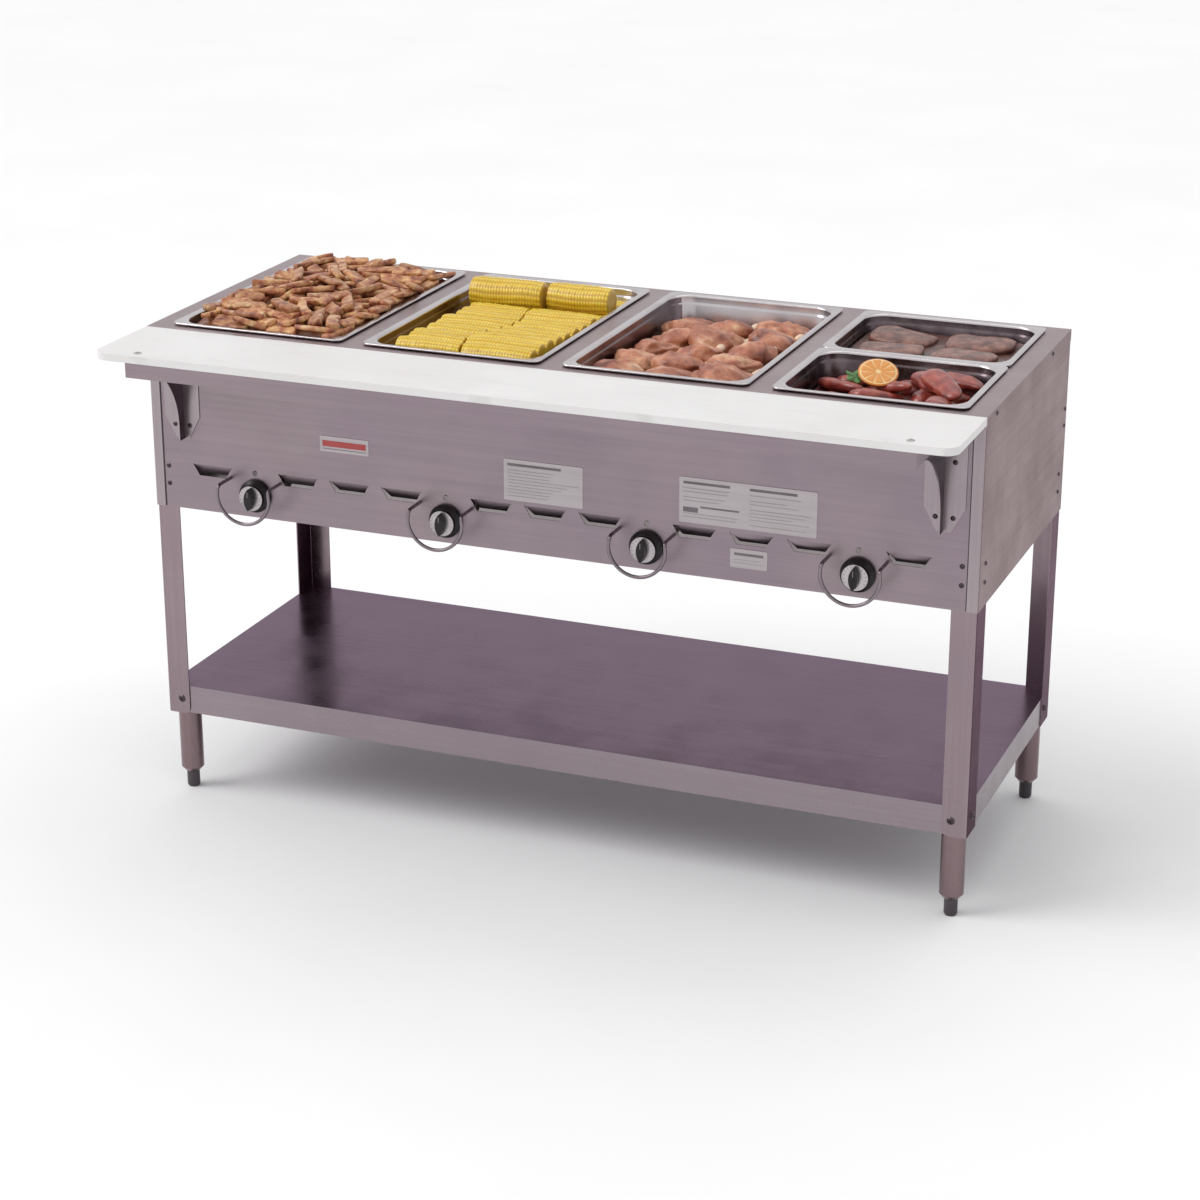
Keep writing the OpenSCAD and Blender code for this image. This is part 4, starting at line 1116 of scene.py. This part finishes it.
def screw_mesh(radius, height, shank_r, shank, sides=40):
    """A domed head with a cross recess at the origin, rising along +Z, on a plain shank."""
    fractions = (0.08, 0.17, 0.26, 0.36, 0.46, 0.56, 0.66, 0.78, 0.9, 1.0)
    cap = (radius * radius + height * height) / (2 * height)
    around = [(math.cos(TAU * k / sides), math.sin(TAU * k / sides)) for k in range(sides)]
    verts = [(0, 0, height - RECESS * height)]
    for f in fractions:
        r = f * radius
        dome = math.sqrt(cap * cap - r * r) - cap + height
        for c, d in around:
            x, y = r * c, r * d
            arm = min(abs(x), abs(y)) < 0.11 * radius + 0.02 and max(abs(x), abs(y)) < 0.6 * radius
            verts.append((x, y, dome - (RECESS * height if arm else 0)))
    for r, z in ((shank_r, 0.0), (shank_r, -shank)):
        verts += [(r * c, r * d, z) for c, d in around]
    faces = [(0, 1 + k, 1 + (k + 1) % sides) for k in range(sides)]
    faces += grid_faces(len(fractions) + 2, sides, 1)
    faces.append(tuple(range(len(verts) - sides, len(verts))))
    return verts, faces


def add_screws(node, head_r, head_h, shank_r, material="screw"):
    """Stands for a node of screws, each facing away from the object's middle."""
    parts = []
    middle = (CAD_BOX[0] + CAD_BOX[1]) / 2 / MM
    rng = np.random.default_rng(3)
    for low, high in solids(node):
        size, centre = high - low, (low + high) / 2

        def odd(i):
            return min(abs(size[i] - size[j]) for j in range(3) if j != i)

        axis = max(range(3), key=odd)
        sign = 1 if centre[axis] > middle[axis] else -1
        outward = Vector([sign if i == axis else 0 for i in range(3)])
        length = size[axis]
        verts, faces = screw_mesh(head_r, head_h, shank_r, length - head_h)
        turn = Matrix.Rotation(rng.uniform(0, TAU), 3, "Z")
        spin = np.array(outward.to_track_quat("Z", "Y").to_matrix() @ turn)
        seat = centre + outward * (length / 2 - head_h)
        parts.append((np.array(verts) @ spin.T + np.array(seat), faces))
    piece = new_piece(node + "_heads", *merged(parts), material, "root", 35)
    stand_in(node)


PLATE_EDGE = 7.0
LINE_PITCH = 5.6
BAR_DEPTH = 0.15


def add_plates():
    """Blank plates with ruled panels and bars in place of any wording."""
    softened("label_plates", "label", 0.3, 1)
    rng = random.Random(8)
    ink, lines, stripe = [], [], []
    for low, high in solids("label_plates"):
        w, h, face = high.x - low.x, high.z - low.z, low.y

        def bar(parts, x0, x1, z0, z1):
            corner = (low.x + x0, face - BAR_DEPTH, low.z + z0)
            parts.append(box_mesh(corner, (low.x + x1, face + 0.1, low.z + z1)))

        if h < 30:
            bar(stripe, 5, w - 5, h * 0.34, h * 0.72)
            bar(ink, 5, w - 5, h * 0.18, h * 0.22)
            continue
        columns = 2 if w > 180 else 1
        width = (w - PLATE_EDGE * (columns + 1)) / columns
        for c in range(columns):
            left = PLATE_EDGE + c * (width + PLATE_EDGE)
            top = h - PLATE_EDGE
            bar(ink, left, left + width * (0.75 if h > 40 else 1), top - 4.5, top)
            split = columns == 2 and c == 0
            z = top - 11
            while z > PLATE_EDGE:
                if not (split and 0.22 * h < z < 0.46 * h):
                    bar(lines, left, left + width * rng.uniform(0.55, 1.0), z - 1.5, z)
                z -= LINE_PITCH * (1.7 if rng.random() < 0.2 else 1)
            if split:
                bar(ink, left, left + 0.24 * width, 0.24 * h, 0.35 * h)
                bar(ink, left + 0.28 * width, left + 0.9 * width, 0.35 * h, 0.39 * h)
    drawn = {"bars": (ink, "ink"), "lines": (lines, "faded_ink"), "stripe": (stripe, "enamel")}
    for name, (parts, material) in drawn.items():
        piece = new_piece("plate_" + name, *merged(parts), material, "root", 30)


def add_knob(i):
    """A skirted knob with a ribbed barrel, its bezel with tick marks, and a pointer line."""
    body = f"knob_assembly_{i}"
    softened(f"knob_{i}", "knob", 0.8, 3)
    softened(f"knob_bezel_{i}", "bezel", 0.35)
    front = box_of(f"knob_{i}")[0].y
    bezel_low, bezel_high = box_of(f"knob_bezel_{i}")
    centre = (bezel_low + bezel_high) / 2
    radius = (bezel_high.x - bezel_low.x) / 2
    ribs = []
    for k in range(36):
        a = TAU * k / 36
        out = Vector((math.cos(a), 0, math.sin(a)))
        at = centre + out * (radius - 0.1)
        ribs.append(tube([(at.x, bezel_high.y + 0.6, at.z), (at.x, bezel_high.y + 5.3, at.z)], 0.75, 6))
    new_piece(f"knob_ribs_{i}", *merged(ribs), "knob", body, 60)
    corner = (centre.x - 0.6, front - 0.12, centre.z + 5)
    line = box_mesh(corner, (centre.x + 0.6, front + 0.3, centre.z + radius - 7))
    ticks = []
    for k in range(13):
        a = math.radians(-30 + 20 * k)
        for r in np.linspace(radius - 4.6, radius - 1.6, 4):
            at = centre + Vector((math.cos(a), 0, math.sin(a))) * r
            corner = (at.x - 0.4, bezel_low.y - 0.08, at.z - 0.4)
            ticks.append(box_mesh(corner, (at.x + 0.4, bezel_low.y + 0.2, at.z + 0.4)))
    new_piece(f"knob_line_{i}", *line, "line_ink", body, 30)
    new_piece(f"knob_ticks_{i}", *merged(ticks), "ink", body, 30)


# ---------------------------------------------------------------- building

# Each sheet's finish, the rounding of its edges, and the finish of its faces across an axis, a darker
# copy of the steel as painted shade
SHEET_PARTS = {
    "top_deck": ("deck", 0.5),
    "front_panel": ("panel_x", 0.5),
    "left_end_panel": ("flange", 0.5, 0, "panel_y"),
    "right_end_panel": ("flange", 0.5, 0, "panel_y"),
    "back_panel": ("panel_x", 0.5),
    "leg_front_left": ("leg", 0.6, 0, "leg_side"),
    "leg_front_right": ("leg", 0.6, 0, "leg_side"),
    "leg_back_left": ("leg", 0.6, 0, "leg_side"),
    "leg_back_right": ("leg", 0.6, 0, "leg_side"),
    "undershelf": ("lip", 0.5, 2, "shelf"),
    "board_shelf": ("panel_x", 0.6),
    "board_bracket_left": ("flange", 0.4, 0, "bracket_side"),
    "board_bracket_right": ("flange", 0.4, 0, "bracket_side"),
    "cutting_board": ("board", 2.2),
    "adapter_bar": ("pan", 0.3),
    "foot_tubes": ("foot", 0.4),
}

CAD_FINISH = {
    "insulation": "wool",
    "gas_manifold": "iron",
    "gas_valves": "brass",
    "pilot_tubes": "screw",
    "burners": "iron",
    "burner_rails": "liner",
    "pressure_regulator": "regulator",
    "gas_inlet_pipe": "iron",
}


def retone(piece, axis, material):
    """Gives the faces that lie across an axis a darker copy of the steel, as painted shade."""
    piece.data.materials.append(MATERIALS[material])
    for face in piece.data.polygons:
        if abs(face.normal[axis]) > 0.75:
            face.material_index = 1


def add_seam_shadows():
    """Painted shadow: dark strips along the edges where the end panels lap onto the front and the back.
    """
    parts = []
    low, high = box_of("right_end_panel")
    edge, width = high.x - 19.0, 1.8
    for side in (-1, 1):
        for y0, y1 in ((low.y + 0.5, low.y + 1.45), (high.y - 1.45, high.y - 0.5)):
            x0, x1 = sorted((side * (edge - width), side * (edge - 0.05)))
            parts.append(box_mesh((x0, y0, low.z + 1), (x1, y1, high.z - 22)))
    new_piece("seam_shadow_strips", *merged(parts), "seam", "root", 30)


def build():
    for node, (material, width, *across) in SHEET_PARTS.items():
        sheet = softened(node, material, width, 3 if node == "cutting_board" else 2)
        if across:
            retone(sheet, *across)
    for node, material in CAD_FINISH.items():
        softened(node, material)
    for i in range(1, 5):
        softened(f"foot_insert_{i}", "foot_plastic", 0.5)
        softened(f"valve_stem_{i}", "screw")
        softened(f"well_liner_{i}", "liner")
        add_knob(i)
    for node in ("pan_1", "pan_2", "pan_3"):
        add_pan(node)
    add_pan("half_pan_front", stained=True)
    add_pan("half_pan_rear", stained=True)
    add_strips()
    add_corn()
    add_pieces()
    add_fillets()
    add_glazed()
    add_guards()
    add_seam_shadows()
    add_plates()
    add_screws("panel_screws", 4.5, 2.2, 2.4)
    add_screws("leg_bolts", 7.0, 3.5, 4.0)
    add_screws("board_screws", 7.0, 2.4, 3.0, "screw_pale")


build()
add_camera()
add_studio().data.materials.append(MATERIALS["floor"])
